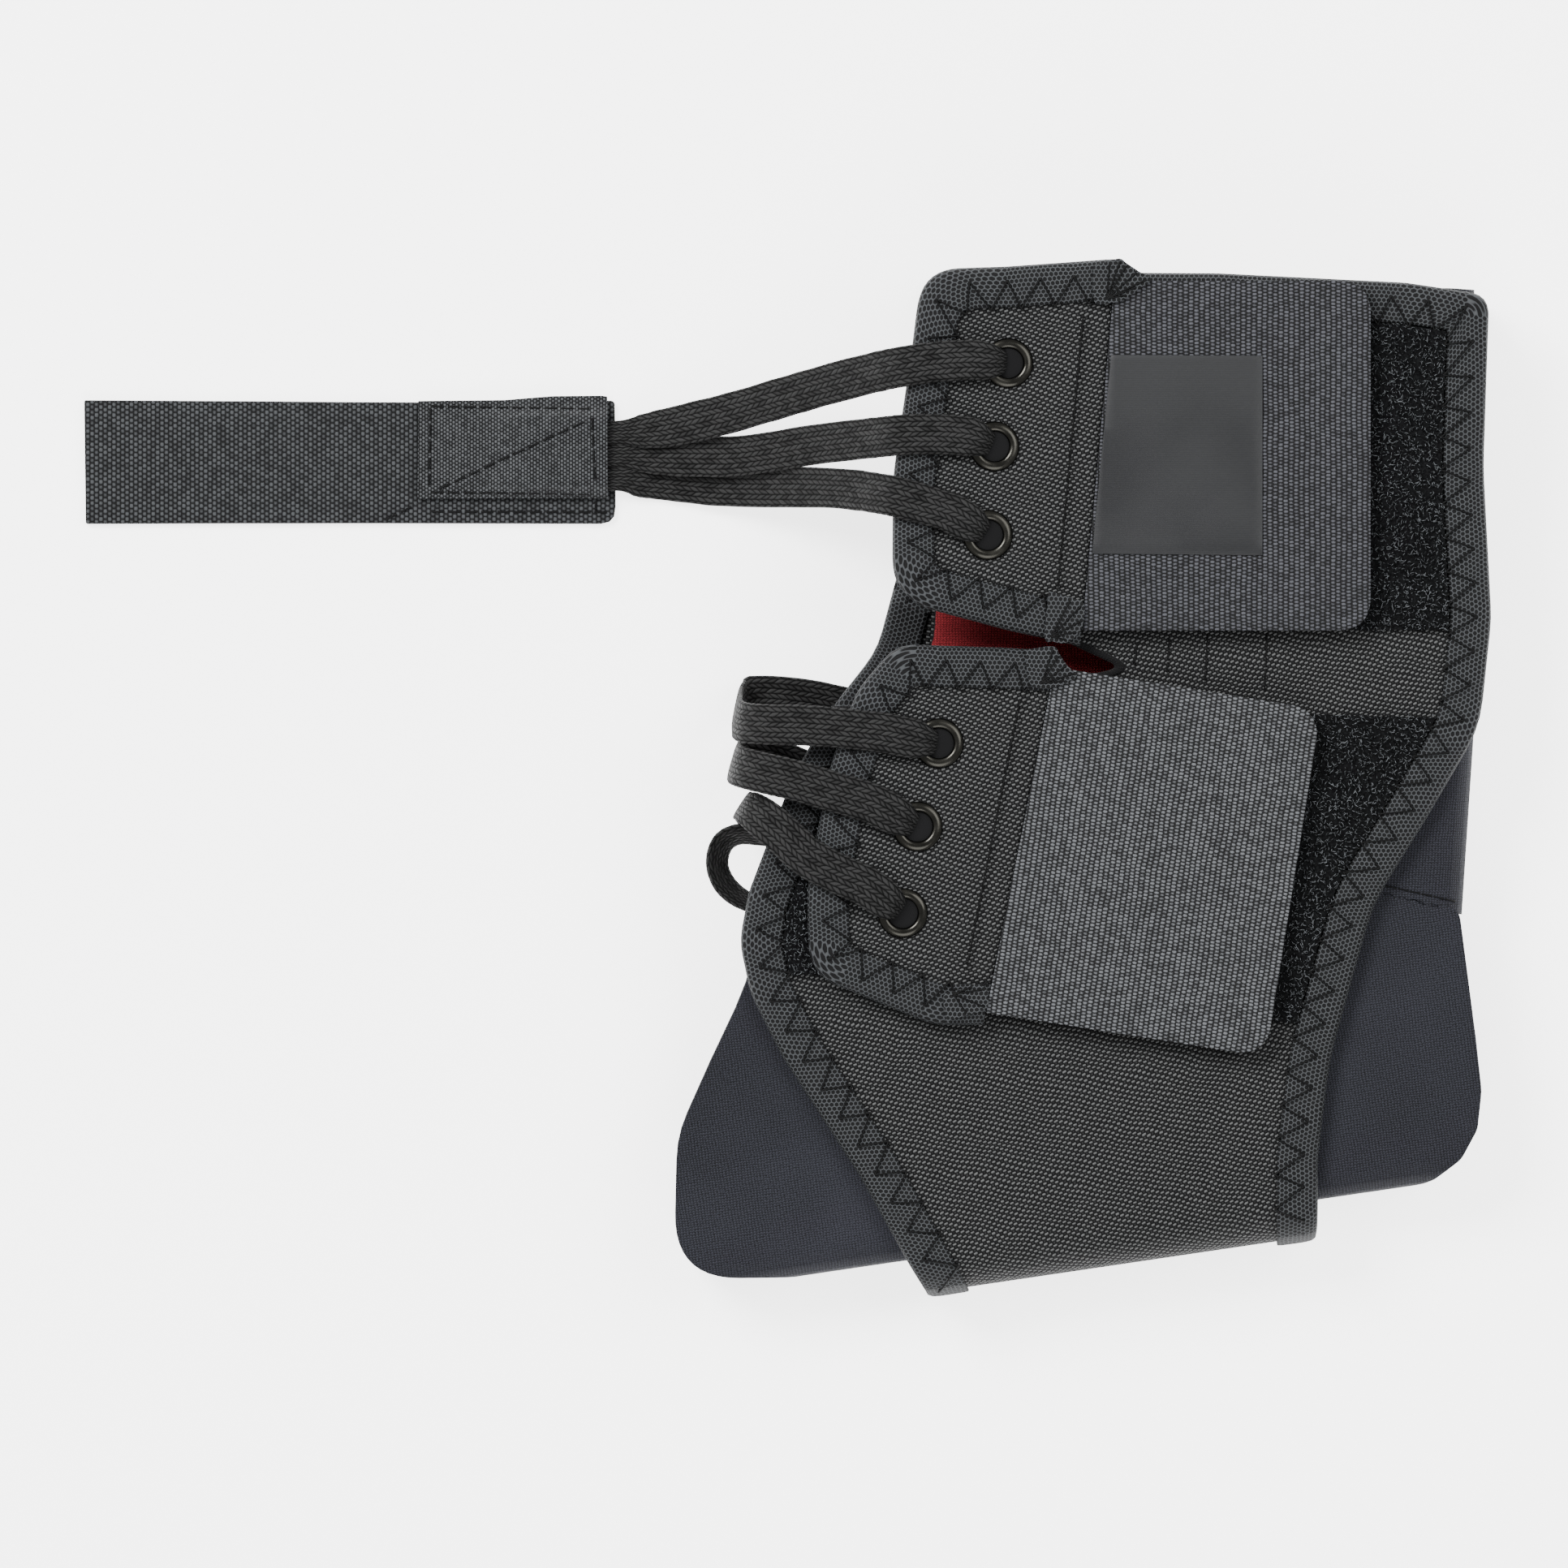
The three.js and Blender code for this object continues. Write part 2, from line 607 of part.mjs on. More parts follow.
function outward(solid, geometry) {
  if (solid.volume() > 0) return solid;
  const flipped = geometry.toNonIndexed();
  const position = flipped.attributes.position;
  for (let corner = 0; corner < position.count; corner += 3) {
    const [x, y, z] = [position.getX(corner), position.getY(corner), position.getZ(corner)];
    const next = corner + 1;
    position.setXYZ(corner, position.getX(next), position.getY(next), position.getZ(next));
    position.setXYZ(next, x, y, z);
  }
  return solidFrom(flipped);
}

function gridHeight(heightAt, along, up) {
  const column = gridAlong.findLastIndex((knot) => knot <= along);
  const row = gridUp.findLastIndex((knot) => knot <= up);
  const [a0, a1] = [gridAlong[column], gridAlong[column + 1]];
  const [u0, u1] = [gridUp[row], gridUp[row + 1]];
  const x = (along - a0) / (a1 - a0);
  const y = (up - u0) / (u1 - u0);
  const corner = heightAt(a0, u0);
  const opposite = heightAt(a1, u1);
  if (x >= y) {
    const side = heightAt(a1, u0);
    return corner + x * (side - corner) + y * (opposite - side);
  }
  const side = heightAt(a0, u1);
  return corner + y * (side - corner) + x * (opposite - side);
}

function seatEyelet(mesh, side, place) {
  const face = side === sides.near ? nearFace : farFace;
  const offset = (flapInner + flapOuter) / 2;
  const step = eyeletDiameter / 2;
  const slope = ['along', 'up'].map((axis) => {
    const span = axis === 'along' ? braceWidth : braceHeight;
    const ahead = { ...place, [axis]: place[axis] + step / span };
    const behind = { ...place, [axis]: place[axis] - step / span };
    return (gridHeight(face, ahead.along, ahead.up) - gridHeight(face, behind.along, behind.up)) / (2 * step);
  });
  const normal = new THREE.Vector3(-slope[0], -slope[1], 1).normalize();
  if (side === sides.far) normal.negate();
  const height = gridHeight(face, place.along, place.up) + (side === sides.near ? offset : -offset);
  mesh.quaternion.setFromUnitVectors(new THREE.Vector3(0, 0, 1), normal);
  mesh.position.set(across(place.along), upward(place.up), height);
}

for (const side of [sides.near, sides.far]) {
  for (const wing of wings) addFlap(side, wing);
}

// A bare label patch on the upper hook tab
const labelTop = { along: 0.527, up: 0.908 };
const labelCentre = placed(labelTop).add(new THREE.Vector2(labelWidth / 2, -labelHeight / 2));
const labelPath = [[-1, 1], [-1, -1], [1, -1], [1, 1]].map(([x, y]) => new THREE.Vector2(
  labelCentre.x + (x * labelWidth) / 2, labelCentre.y + (y * labelHeight) / 2));
const labelSolid = sheetLayer(sides.near, labelInner, labelInner + labelWall)
  .intersect(prismOfPath(labelPath))
  .intersect(beyondEnd(upperFlapEnd, clearance, 1));
addSolid('label_patch', labelSolid, cloth(0x454749, 0.4));

// Pull tab of hook webbing, lying on the surface, with a patch sewn over the lace ends
const webbingEnd = braceLeft - pullTabReach + webbingLength;
const webbingMiddle = braceBottom + webbingUp + webbingWidth / 2;
function strip(right, length, centre, width, corner, low, thickness) {
  const rows = [[right - length, -1], [right, -1], [right, 1], [right - length, 1]];
  const corners = rows.map(([x, y], index) => ({
    point: new THREE.Vector2(x, centre + (y * width) / 2),
    bend: index === 1 ? corner : 0,
  }));
  const shape = new THREE.Shape(roundedPath(corners));
  const geometry = new THREE.ExtrudeGeometry(shape, { depth: thickness, bevelEnabled: false, steps: 1 });
  geometry.translate(0, 0, low);
  return solidFrom(geometry);
}
const patchLow = webbingWall + 2 * clearance + laceThickness * 1.5;
const patchInset = 1.8;
const patchMiddle = webbingMiddle + (webbingWidth - patchWidth) / 2 + clearance;
const pullTab = strip(webbingEnd, webbingLength, webbingMiddle, webbingWidth, webbingCorner, 0, webbingWall);
const patchEnd = webbingEnd - patchInset;
const pullTabPatch = strip(patchEnd, patchLength, patchMiddle, patchWidth, 0, patchLow, patchWall);
addSolid('pull_tab', pullTab, webbing());
addSolid('pull_tab_patch', pullTabPatch, webbing());

// Laces: flat braid. Each row is a station on the route: x, y, z, then shares of laceWidth and laceThickness.
const laceRoutes = {
  upper_lace_1: [
    [-50, 71.4, 3, 0.53, 1.5], [-35, 71.4, 3.1, 0.53, 1.5], [-29, 71.8, 4.9, 0.6, 1.2],
    [-22, 72.9, 7, 1, 1],
    [-11.4, 75.4, 10.6, 1, 1], [-1.9, 78.1, 15, 1, 1], [7.8, 80.8, 21, 1, 1], [15, 82.6, 26.6, 1, 1],
    [20.4, 83.8, 31.4, 1, 1], [24.5, 84.5, 33.8, 1, 1], [30, 85.3, 33.5, 1, 1],
    [37.4, 85.8, 33.1, 0.8, 1.1],
    [40.6, 85.6, 33, 0.6, 1.2], [42.6, 85.5, 32.2, 0.5, 1.3], [44.2, 85.4, 30.6, 0.42, 1.3],
    [44.9, 85.3, 28.9, 0.42, 1.3],
  ],
  upper_lace_2: [
    [-50, 66.7, 3, 0.53, 1.5], [-35, 66.7, 3, 0.53, 1.5], [-29, 66.7, 3.2, 0.6, 1.2],
    [-22, 66.6, 4.6, 1, 1],
    [-11.4, 66.5, 7.6, 1, 1], [-3, 67.4, 11.5, 1, 1], [4.6, 68.6, 16.2, 1, 1], [12, 69.4, 22.8, 1, 1],
    [17.5, 69.9, 28.8, 1, 1], [21, 70.2, 33.1, 1, 1], [24.5, 70.5, 34, 1, 1], [30.3, 70.6, 33.7, 1, 1],
    [34.6, 70.4, 33.2, 0.8, 1.1], [37.9, 70, 33.1, 0.6, 1.2], [39.9, 69.3, 32.4, 0.5, 1.3],
    [41.4, 68.8, 30.7, 0.42, 1.3], [42.1, 68.5, 29, 0.42, 1.3],
  ],
  upper_lace_3: [
    [-50, 62, 3, 0.53, 1.5], [-35, 62, 3, 0.53, 1.5], [-30.5, 61.8, 2.2, 0.6, 1.2],
    [-25.6, 61.4, 1.3, 0.9, 1], [-14.4, 60.5, 3.2, 1, 1], [-5, 60.2, 7.4, 1, 1],
    [2.5, 60.1, 12.8, 1, 1], [9.5, 59.8, 19.6, 1, 1], [15, 59.2, 26, 1, 1], [19, 58.5, 31.4, 1, 1],
    [22.1, 57.9, 33.8, 1, 1], [27, 56.6, 33.6, 1, 1],
    [32, 55.1, 33.3, 0.95, 1], [34.5, 54.1, 33.2, 0.8, 1.1], [37, 52.7, 33.1, 0.6, 1.2],
    [38.9, 51.6, 32.3, 0.5, 1.3], [40.2, 50.8, 30.7, 0.42, 1.3], [40.7, 50.5, 29.1, 0.42, 1.3],
  ],
  lower_lace_1: [
    [30.75, 7.5, 28.9, 0.42, 1.3], [30.1, 7.6, 30.6, 0.42, 1.3], [28.5, 7.9, 32.2, 0.5, 1.3],
    [26.4, 8.3, 33, 0.6, 1.2], [23.4, 8.9, 33.2, 0.8, 1.1], [19, 9.7, 33.2, 1, 1], [10.3, 10.6, 33.6, 1, 1],
    [3, 11.1, 33.9, 1, 1], [-4, 11.3, 33.4, 1, 1], [-8.2, 11.6, 31, 1, 1], [-9.8, 12.3, 26.5, 1, 1],
    [-10, 13.4, 20, 1, 1], [-10, 14.8, 12, 1, 1], [-9.2, 16.3, 6.5, 1, 1], [-6.3, 17.3, 3.6, 1, 1],
    [2, 16.8, 2.8, 1, 1], [10.1, 15.4, 2.3, 1, 1], [16, 13.5, 1.9, 1, 1], [22, 11, 1.4, 1, 1],
    [26.4, 8.9, 0.95, 0.7, 1.1], [28.7, 8.2, 1.2, 0.5, 1.2], [30.1, 7.7, 2.4, 0.42, 1.3],
    [30.8, 7.5, 4, 0.42, 1.3],
  ],
  lower_lace_2: [
    [26.4, -9.4, 28.5, 0.42, 1.3], [25.8, -9.1, 30.2, 0.42, 1.3], [24.4, -8.4, 31.8, 0.5, 1.3],
    [22.5, -7.4, 32.7, 0.6, 1.2], [19.9, -6.1, 32.9, 0.8, 1.1], [16.5, -4.5, 33, 1, 1],
    [9.1, -2.3, 33.3, 1, 1], [2, -0.2, 33.6, 1, 1], [-3, 1, 33.4, 1, 1], [-7.6, 2.1, 31.6, 1, 1],
    [-10, 2.9, 27.5, 1, 1], [-10.6, 3.4, 21, 1, 1], [-10.6, 4, 13, 1, 1], [-9.8, 4.6, 6.8, 1, 1],
    [-6.5, 5, 3.6, 1, 1],
    [1, 3, 2.9, 1, 1], [10, -1.4, 2.3, 1, 1], [17, -5, 1.8, 1, 1], [22.3, -7.6, 1.1, 0.7, 1.1],
    [24.5, -8.6, 1.3, 0.5, 1.2], [25.8, -9.1, 2.6, 0.42, 1.3], [26.5, -9.4, 4.2, 0.42, 1.3],
  ],
  lower_lace_3: [
    [23.5, -26.9, 27.6, 0.42, 1.3], [22.9, -26.4, 29.3, 0.42, 1.3], [21.8, -25.7, 31.2, 0.5, 1.2],
    [20.1, -24.4, 32, 0.6, 1.2], [17.9, -22.8, 32.2, 0.8, 1.1], [15.2, -21.2, 32.4, 1, 1],
    [10.8, -19.3, 32.6, 1, 1], [4.4, -15.8, 33, 1, 1], [-0.5, -11.4, 32.6, 1, 1], [-4.6, -8, 31.4, 1, 1],
    [-7.4, -6, 28.5, 0.9, 1], [-8.6, -5.4, 24, 0.8, 1], [-8.9, -5.3, 17.5, 0.8, 1],
    [-8.7, -5.4, 11, 0.8, 1],
    [-7.6, -6.2, 6, 0.9, 1], [-4.6, -8.2, 3.4, 1, 1], [2, -12.4, 2.8, 1, 1], [9, -17, 2.3, 1, 1],
    [15, -21.2, 1.9, 1, 1], [19.9, -24.6, 1.1, 0.7, 1.1], [21.9, -25.9, 1.3, 0.5, 1.2],
    [23, -26.6, 2.6, 0.42, 1.3], [23.5, -27, 4.2, 0.42, 1.3],
  ],
};
// The slack end of the lace stands on edge and goes back in between the two halves.
const slackLoop = [
  [10, -14, 17.6, 0.7, 1], [1, -12.6, 17.6, 0.7, 1], [-5, -11.6, 17.5, 0.86, 1], [-9.5, -11.2, 17.2, 1, 1],
  [-12.6, -12.6, 17, 1, 1], [-14, -15.6, 17, 1, 1], [-13.8, -19, 17, 1, 1], [-11.8, -22.4, 17, 1, 1],
  [-8, -25, 17.4, 0.86, 1], [-2, -26.6, 17.5, 0.66, 1], [7, -27.2, 17.5, 0.64, 1],
];

const braidSection = [
  [1, 0.35], [0.8, 1], [-0.8, 1], [-1, 0.35], [-1, -0.35], [-0.8, -1], [0.8, -1], [1, -0.35],
];
function ribbon(rows, onEdge = false) {
  const places = rows.map(([x, y, z]) => new THREE.Vector3(x, y, z));
  const heading = places[Math.min(4, places.length - 1)].clone().sub(places[0]);
  const level = new THREE.Vector3(-heading.y, heading.x, 0).normalize();
  let side = onEdge ? new THREE.Vector3(0, 0, 1) : level;
  const sections = places.map((place, index) => {
    const before = places[Math.max(0, index - 1)];
    const after = places[Math.min(places.length - 1, index + 1)];
    const tangent = after.clone().sub(before).normalize();
    const flat = new THREE.Vector3(-tangent.y, tangent.x, 0);
    if (!onEdge && flat.length() > 0.5) side = flat.multiplyScalar(flat.dot(side) < 0 ? -1 : 1);
    side = side.clone().addScaledVector(tangent, -side.dot(tangent)).normalize();
    const face = new THREE.Vector3().crossVectors(tangent, side);
    const [, , , wide, thick] = rows[index];
    return braidSection.map(([out, up]) => place.clone()
      .addScaledVector(side, (out * wide * laceWidth) / 2)
      .addScaledVector(face, (up * thick * laceThickness) / 2));
  });
  const cap = braidSection.map(([x, y]) => new THREE.Vector2(x, y));
  return loft(sections, cap);
}
for (const [name, rows] of Object.entries(laceRoutes)) addSolid(name, ribbon(rows), braid());
addSolid('slack_lace', ribbon(slackLoop, true), braid());

export default brace;
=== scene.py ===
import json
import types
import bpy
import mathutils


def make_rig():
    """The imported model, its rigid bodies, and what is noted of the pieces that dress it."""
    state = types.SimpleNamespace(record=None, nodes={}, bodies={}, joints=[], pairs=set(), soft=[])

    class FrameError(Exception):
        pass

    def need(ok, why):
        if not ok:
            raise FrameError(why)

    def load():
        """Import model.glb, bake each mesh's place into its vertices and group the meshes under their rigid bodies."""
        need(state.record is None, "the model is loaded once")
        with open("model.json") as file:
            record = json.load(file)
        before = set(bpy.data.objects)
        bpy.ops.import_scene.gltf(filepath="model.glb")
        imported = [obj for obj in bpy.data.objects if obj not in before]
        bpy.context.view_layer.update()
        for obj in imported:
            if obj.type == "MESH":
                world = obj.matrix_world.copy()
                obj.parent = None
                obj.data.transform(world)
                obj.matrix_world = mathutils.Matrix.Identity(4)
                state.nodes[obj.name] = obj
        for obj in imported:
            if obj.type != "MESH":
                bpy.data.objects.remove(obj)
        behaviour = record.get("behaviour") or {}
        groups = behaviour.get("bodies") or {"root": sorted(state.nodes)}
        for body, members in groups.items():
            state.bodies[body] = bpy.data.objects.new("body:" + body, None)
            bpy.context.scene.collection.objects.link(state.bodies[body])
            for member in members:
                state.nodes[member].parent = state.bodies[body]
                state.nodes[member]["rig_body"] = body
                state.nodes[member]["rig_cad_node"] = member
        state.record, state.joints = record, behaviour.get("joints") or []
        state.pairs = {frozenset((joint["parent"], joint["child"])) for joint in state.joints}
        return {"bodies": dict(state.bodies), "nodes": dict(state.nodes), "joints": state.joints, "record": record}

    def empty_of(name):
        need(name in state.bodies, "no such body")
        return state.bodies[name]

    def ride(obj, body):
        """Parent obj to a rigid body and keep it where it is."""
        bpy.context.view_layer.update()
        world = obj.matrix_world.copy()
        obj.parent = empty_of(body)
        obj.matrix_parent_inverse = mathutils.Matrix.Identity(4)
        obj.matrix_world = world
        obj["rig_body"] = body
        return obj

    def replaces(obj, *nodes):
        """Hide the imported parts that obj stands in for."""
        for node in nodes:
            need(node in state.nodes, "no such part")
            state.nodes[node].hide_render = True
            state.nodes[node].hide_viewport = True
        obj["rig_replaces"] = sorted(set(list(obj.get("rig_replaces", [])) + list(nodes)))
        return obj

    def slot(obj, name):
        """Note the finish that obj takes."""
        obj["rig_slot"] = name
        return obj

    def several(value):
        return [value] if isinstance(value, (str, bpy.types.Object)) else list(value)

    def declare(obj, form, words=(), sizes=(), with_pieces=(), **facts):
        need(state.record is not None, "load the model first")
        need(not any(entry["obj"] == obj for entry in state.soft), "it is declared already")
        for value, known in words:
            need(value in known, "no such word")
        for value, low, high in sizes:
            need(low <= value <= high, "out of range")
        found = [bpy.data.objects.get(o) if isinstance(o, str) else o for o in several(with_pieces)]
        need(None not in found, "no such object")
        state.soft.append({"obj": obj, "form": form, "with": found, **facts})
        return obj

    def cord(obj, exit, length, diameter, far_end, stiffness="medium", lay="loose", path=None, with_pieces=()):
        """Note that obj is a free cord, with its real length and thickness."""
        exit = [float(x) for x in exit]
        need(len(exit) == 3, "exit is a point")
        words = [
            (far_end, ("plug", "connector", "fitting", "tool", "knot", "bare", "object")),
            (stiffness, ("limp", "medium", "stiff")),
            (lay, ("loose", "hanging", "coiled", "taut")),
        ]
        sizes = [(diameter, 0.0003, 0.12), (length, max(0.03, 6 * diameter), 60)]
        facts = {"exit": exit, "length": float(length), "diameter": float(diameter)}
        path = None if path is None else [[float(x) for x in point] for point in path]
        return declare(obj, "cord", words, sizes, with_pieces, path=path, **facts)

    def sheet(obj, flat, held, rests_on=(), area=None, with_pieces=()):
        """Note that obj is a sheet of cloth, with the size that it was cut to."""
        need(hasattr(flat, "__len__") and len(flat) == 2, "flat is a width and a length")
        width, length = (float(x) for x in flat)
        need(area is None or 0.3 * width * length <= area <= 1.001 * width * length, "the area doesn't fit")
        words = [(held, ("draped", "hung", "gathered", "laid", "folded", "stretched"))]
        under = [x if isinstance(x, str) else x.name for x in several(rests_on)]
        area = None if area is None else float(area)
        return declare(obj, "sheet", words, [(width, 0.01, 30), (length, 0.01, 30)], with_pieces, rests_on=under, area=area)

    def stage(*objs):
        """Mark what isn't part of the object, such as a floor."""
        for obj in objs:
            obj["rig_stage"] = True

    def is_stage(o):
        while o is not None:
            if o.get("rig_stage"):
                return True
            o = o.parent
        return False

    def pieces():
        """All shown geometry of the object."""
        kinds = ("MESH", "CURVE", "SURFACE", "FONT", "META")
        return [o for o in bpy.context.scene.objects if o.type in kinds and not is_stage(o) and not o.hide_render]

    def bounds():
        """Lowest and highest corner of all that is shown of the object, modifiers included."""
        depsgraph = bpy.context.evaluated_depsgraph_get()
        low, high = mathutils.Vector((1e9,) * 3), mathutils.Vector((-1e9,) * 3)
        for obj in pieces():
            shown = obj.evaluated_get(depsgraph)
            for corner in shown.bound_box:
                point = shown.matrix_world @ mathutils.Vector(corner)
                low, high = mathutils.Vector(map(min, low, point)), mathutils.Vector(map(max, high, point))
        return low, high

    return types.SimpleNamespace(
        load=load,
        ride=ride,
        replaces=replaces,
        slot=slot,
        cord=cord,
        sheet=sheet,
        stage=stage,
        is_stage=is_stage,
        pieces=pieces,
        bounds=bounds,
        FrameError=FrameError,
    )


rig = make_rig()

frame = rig.load()
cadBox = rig.bounds()

import json
import math
import random

import bmesh
import bpy
from mathutils import Matrix, Vector, noise

# Lace-up ankle brace on its side. Lengths are in millimetres here and become metres in each finished mesh.
mm = 0.001


# shader helpers
def srgb(red, green, blue):
    def linear(value):
        value /= 255
        return value / 12.92 if value <= 0.04045 else ((value + 0.055) / 1.055) ** 2.4
    return (linear(red), linear(green), linear(blue), 1)


class Signal:
    def __init__(self, paint, socket):
        self.paint, self.socket = paint, socket

    def math(self, operation, *others):
        return self.paint.add("ShaderNodeMath", {"operation": operation}, dict(enumerate((self, *others))))

    def flipped(self, operation, other):
        return self.paint.add("ShaderNodeMath", {"operation": operation}, {0: other, 1: self})

    def __add__(self, other):
        return self.math("ADD", other)

    def __sub__(self, other):
        return self.math("SUBTRACT", other)

    def __rsub__(self, other):
        return self.flipped("SUBTRACT", other)

    def __mul__(self, other):
        return self.math("MULTIPLY", other)

    def __truediv__(self, other):
        return self.math("DIVIDE", other)

    def __mod__(self, other):
        return self.math("FLOORED_MODULO", other)

    def __pow__(self, other):
        return self.math("POWER", other)

    def __neg__(self):
        return self * -1

    def __abs__(self):
        return self.math("ABSOLUTE")

    __radd__ = __add__
    __rmul__ = __mul__


class NodeTree:
    def __init__(self, tree):
        self.tree = tree

    def add(self, kind, settings=(), sockets=(), out=0):
        node = self.tree.nodes.new(kind)
        for key, value in dict(settings).items():
            setattr(node, key, value)
        for key, value in dict(sockets).items():
            if isinstance(value, Signal):
                self.tree.links.new(value.socket, node.inputs[key])
            else:
                node.inputs[key].default_value = value
        return Signal(self, node.outputs[out])


class Paint(NodeTree):
    def __init__(self, name):
        self.material = bpy.data.materials.new(name)
        self.material.use_nodes = True
        super().__init__(self.material.node_tree)
        self.tree.nodes.clear()

    def pattern(self):  # the cloth's own flat pattern, in mm
        flat = self.add("ShaderNodeUVMap", {"uv_map": "pattern"})
        sized = self.add("ShaderNodeVectorMath", {"operation": "SCALE"}, {0: flat, "Scale": 1000.0})
        split = self.add("ShaderNodeSeparateXYZ", (), {0: sized})
        return split, Signal(self, split.socket.node.outputs[1]), sized

    def spot(self):
        return self.add("ShaderNodeTexCoord", out="Object")

    def cloud(self, vector, scale, detail=2.0):
        return self.add("ShaderNodeTexNoise", (), {"Vector": vector, "Scale": scale, "Detail": detail})

    def ease(self, value, low, high, start=0.0, end=1.0):
        return self.add("ShaderNodeMapRange", {"interpolation_type": "SMOOTHSTEP"}, {
            "Value": value, "From Min": low, "From Max": high, "To Min": start, "To Max": end})

    def blend(self, factor, first, second):
        return self.add("ShaderNodeMix", {"data_type": "RGBA", "clamp_factor": True},
                        {0: factor, 6: first, 7: second}, out=2)

    def pick(self, factor, first, second):
        return first + factor * (second - first)

    def join(self, x, y, z=0.0):
        return self.add("ShaderNodeCombineXYZ", (), {0: x, 1: y, 2: z})

    def random(self, x, y):
        return self.add("ShaderNodeTexWhiteNoise", {"noise_dimensions": "2D"}, {"Vector": self.join(x, y)})

    def cells(self, x, y):  # place inside a cell from its middle, and the cell's number
        return (x.math("FRACT") - 0.5, y.math("FRACT") - 0.5, x.math("FLOOR"), y.math("FLOOR"))

    def finish(self, colour, roughness, height=None, depth=0.1, strength=1.0, **fixed):
        sockets = {"Base Color": colour, "Roughness": roughness}
        if height is not None:
            sockets["Normal"] = self.add("ShaderNodeBump", (), {
                "Height": height, "Distance": depth * mm, "Strength": strength})
        for key, value in fixed.items():
            sockets[key.replace("_", " ")] = value
        shader = self.add("ShaderNodeBsdfPrincipled", (), sockets)
        output = self.tree.nodes.new("ShaderNodeOutputMaterial")
        self.tree.links.new(shader.socket, output.inputs["Surface"])
        return self.material


# mesh helpers
def addPiece(name, bm, materials, slotName=None, nodes=()):
    mesh = bpy.data.meshes.new(name)
    bmesh.ops.scale(bm, vec=(mm, mm, mm), verts=bm.verts)
    bm.to_mesh(mesh)
    bm.free()
    for material in materials:
        mesh.materials.append(material)
    mesh.shade_smooth()
    piece = bpy.data.objects.new(name, mesh)
    bpy.context.scene.collection.objects.link(piece)
    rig.ride(piece, "root")
    if slotName:
        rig.slot(piece, slotName)
    if nodes:
        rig.replaces(piece, *nodes)
    return piece


def facing(bm, side):  # turns an open sheet so that its outer face looks out of the brace
    ends = [(face.calc_center_median().z, face.index, face) for face in bm.faces]
    face = max(ends)[2] if side == "near" else min(ends)[2]
    if (face.normal.z > 0) != (side == "near"):
        bmesh.ops.reverse_faces(bm, faces=bm.faces)
    return bm


def writePattern(bm, placeOf):
    layer = bm.loops.layers.uv.new("pattern")
    for face in bm.faces:
        for loop in face.loops:
            u, v = placeOf(loop.vert)
            loop[layer].uv = (u * mm + 0.3, v * mm + 0.3)


def sweep(sections, patterns, closed=False, side=None):
    bm = bmesh.new()
    ring = [bm.verts.new(point) for point in sections[0]]
    pairs = list(zip(ring, ring[1:] + ring[:1])) if closed else list(zip(ring, ring[1:]))
    edges = [bm.edges.new(pair) for pair in pairs]
    place = dict(zip(ring, patterns[0]))
    firstEdges = edges
    for section, pattern in zip(sections[1:], patterns[1:]):
        made = bmesh.ops.extrude_edge_only(bm, edges=edges)["geom"]
        fresh = {item for item in made if isinstance(item, bmesh.types.BMVert)}
        ring = [next(e.other_vert(v) for e in v.link_edges if e.other_vert(v) in fresh) for v in ring]
        edges = [item for item in made if isinstance(item, bmesh.types.BMEdge)
                 and item.verts[0] in fresh and item.verts[1] in fresh]
        for vert, point, at in zip(ring, section, pattern):
            vert.co = point
            place[vert] = at
    writePattern(bm, place.get)
    if closed:
        bmesh.ops.holes_fill(bm, edges=firstEdges + edges, sides=0)
    bmesh.ops.recalc_face_normals(bm, faces=bm.faces)
    bm.normal_update()
    return facing(bm, side) if side else bm


def smoothLine(rows, parts):  # Catmull-Rom through rows of numbers
    made = []
    for index in range(len(rows) - 1):
        before = rows[max(0, index - 1)]
        first, second = rows[index], rows[index + 1]
        after = rows[min(len(rows) - 1, index + 2)]
        for part in range(parts):
            t = part / parts
            made.append([0.5 * (2 * b + (c - a) * t + (2 * a - 5 * b + 4 * c - d) * t * t
                                + (3 * b - a - 3 * c + d) * t ** 3)
                         for a, b, c, d in zip(before, first, second, after)])
    made.append(list(rows[-1]))
    return made


print("stage: helpers ready")

# camera, straight above, as in the photograph
cameraSetup = {"distance": 4.0, "frameWidth": 0.322, "sharpHeight": 0.015, "centre": (-0.0004, -0.0009),
               "sensor": 36.0}
cameraData = bpy.data.cameras.new("photoCamera")
cameraData.sensor_width = cameraSetup["sensor"]
cameraData.lens = (cameraSetup["sensor"] * (cameraSetup["distance"] - cameraSetup["sharpHeight"])
                   / cameraSetup["frameWidth"])
cameraData.clip_end = 20
camera = bpy.data.objects.new("photoCamera", cameraData)
camera.location = (*cameraSetup["centre"], cameraSetup["distance"])
bpy.context.scene.collection.objects.link(camera)
bpy.context.scene.camera = camera
print("stage: camera")


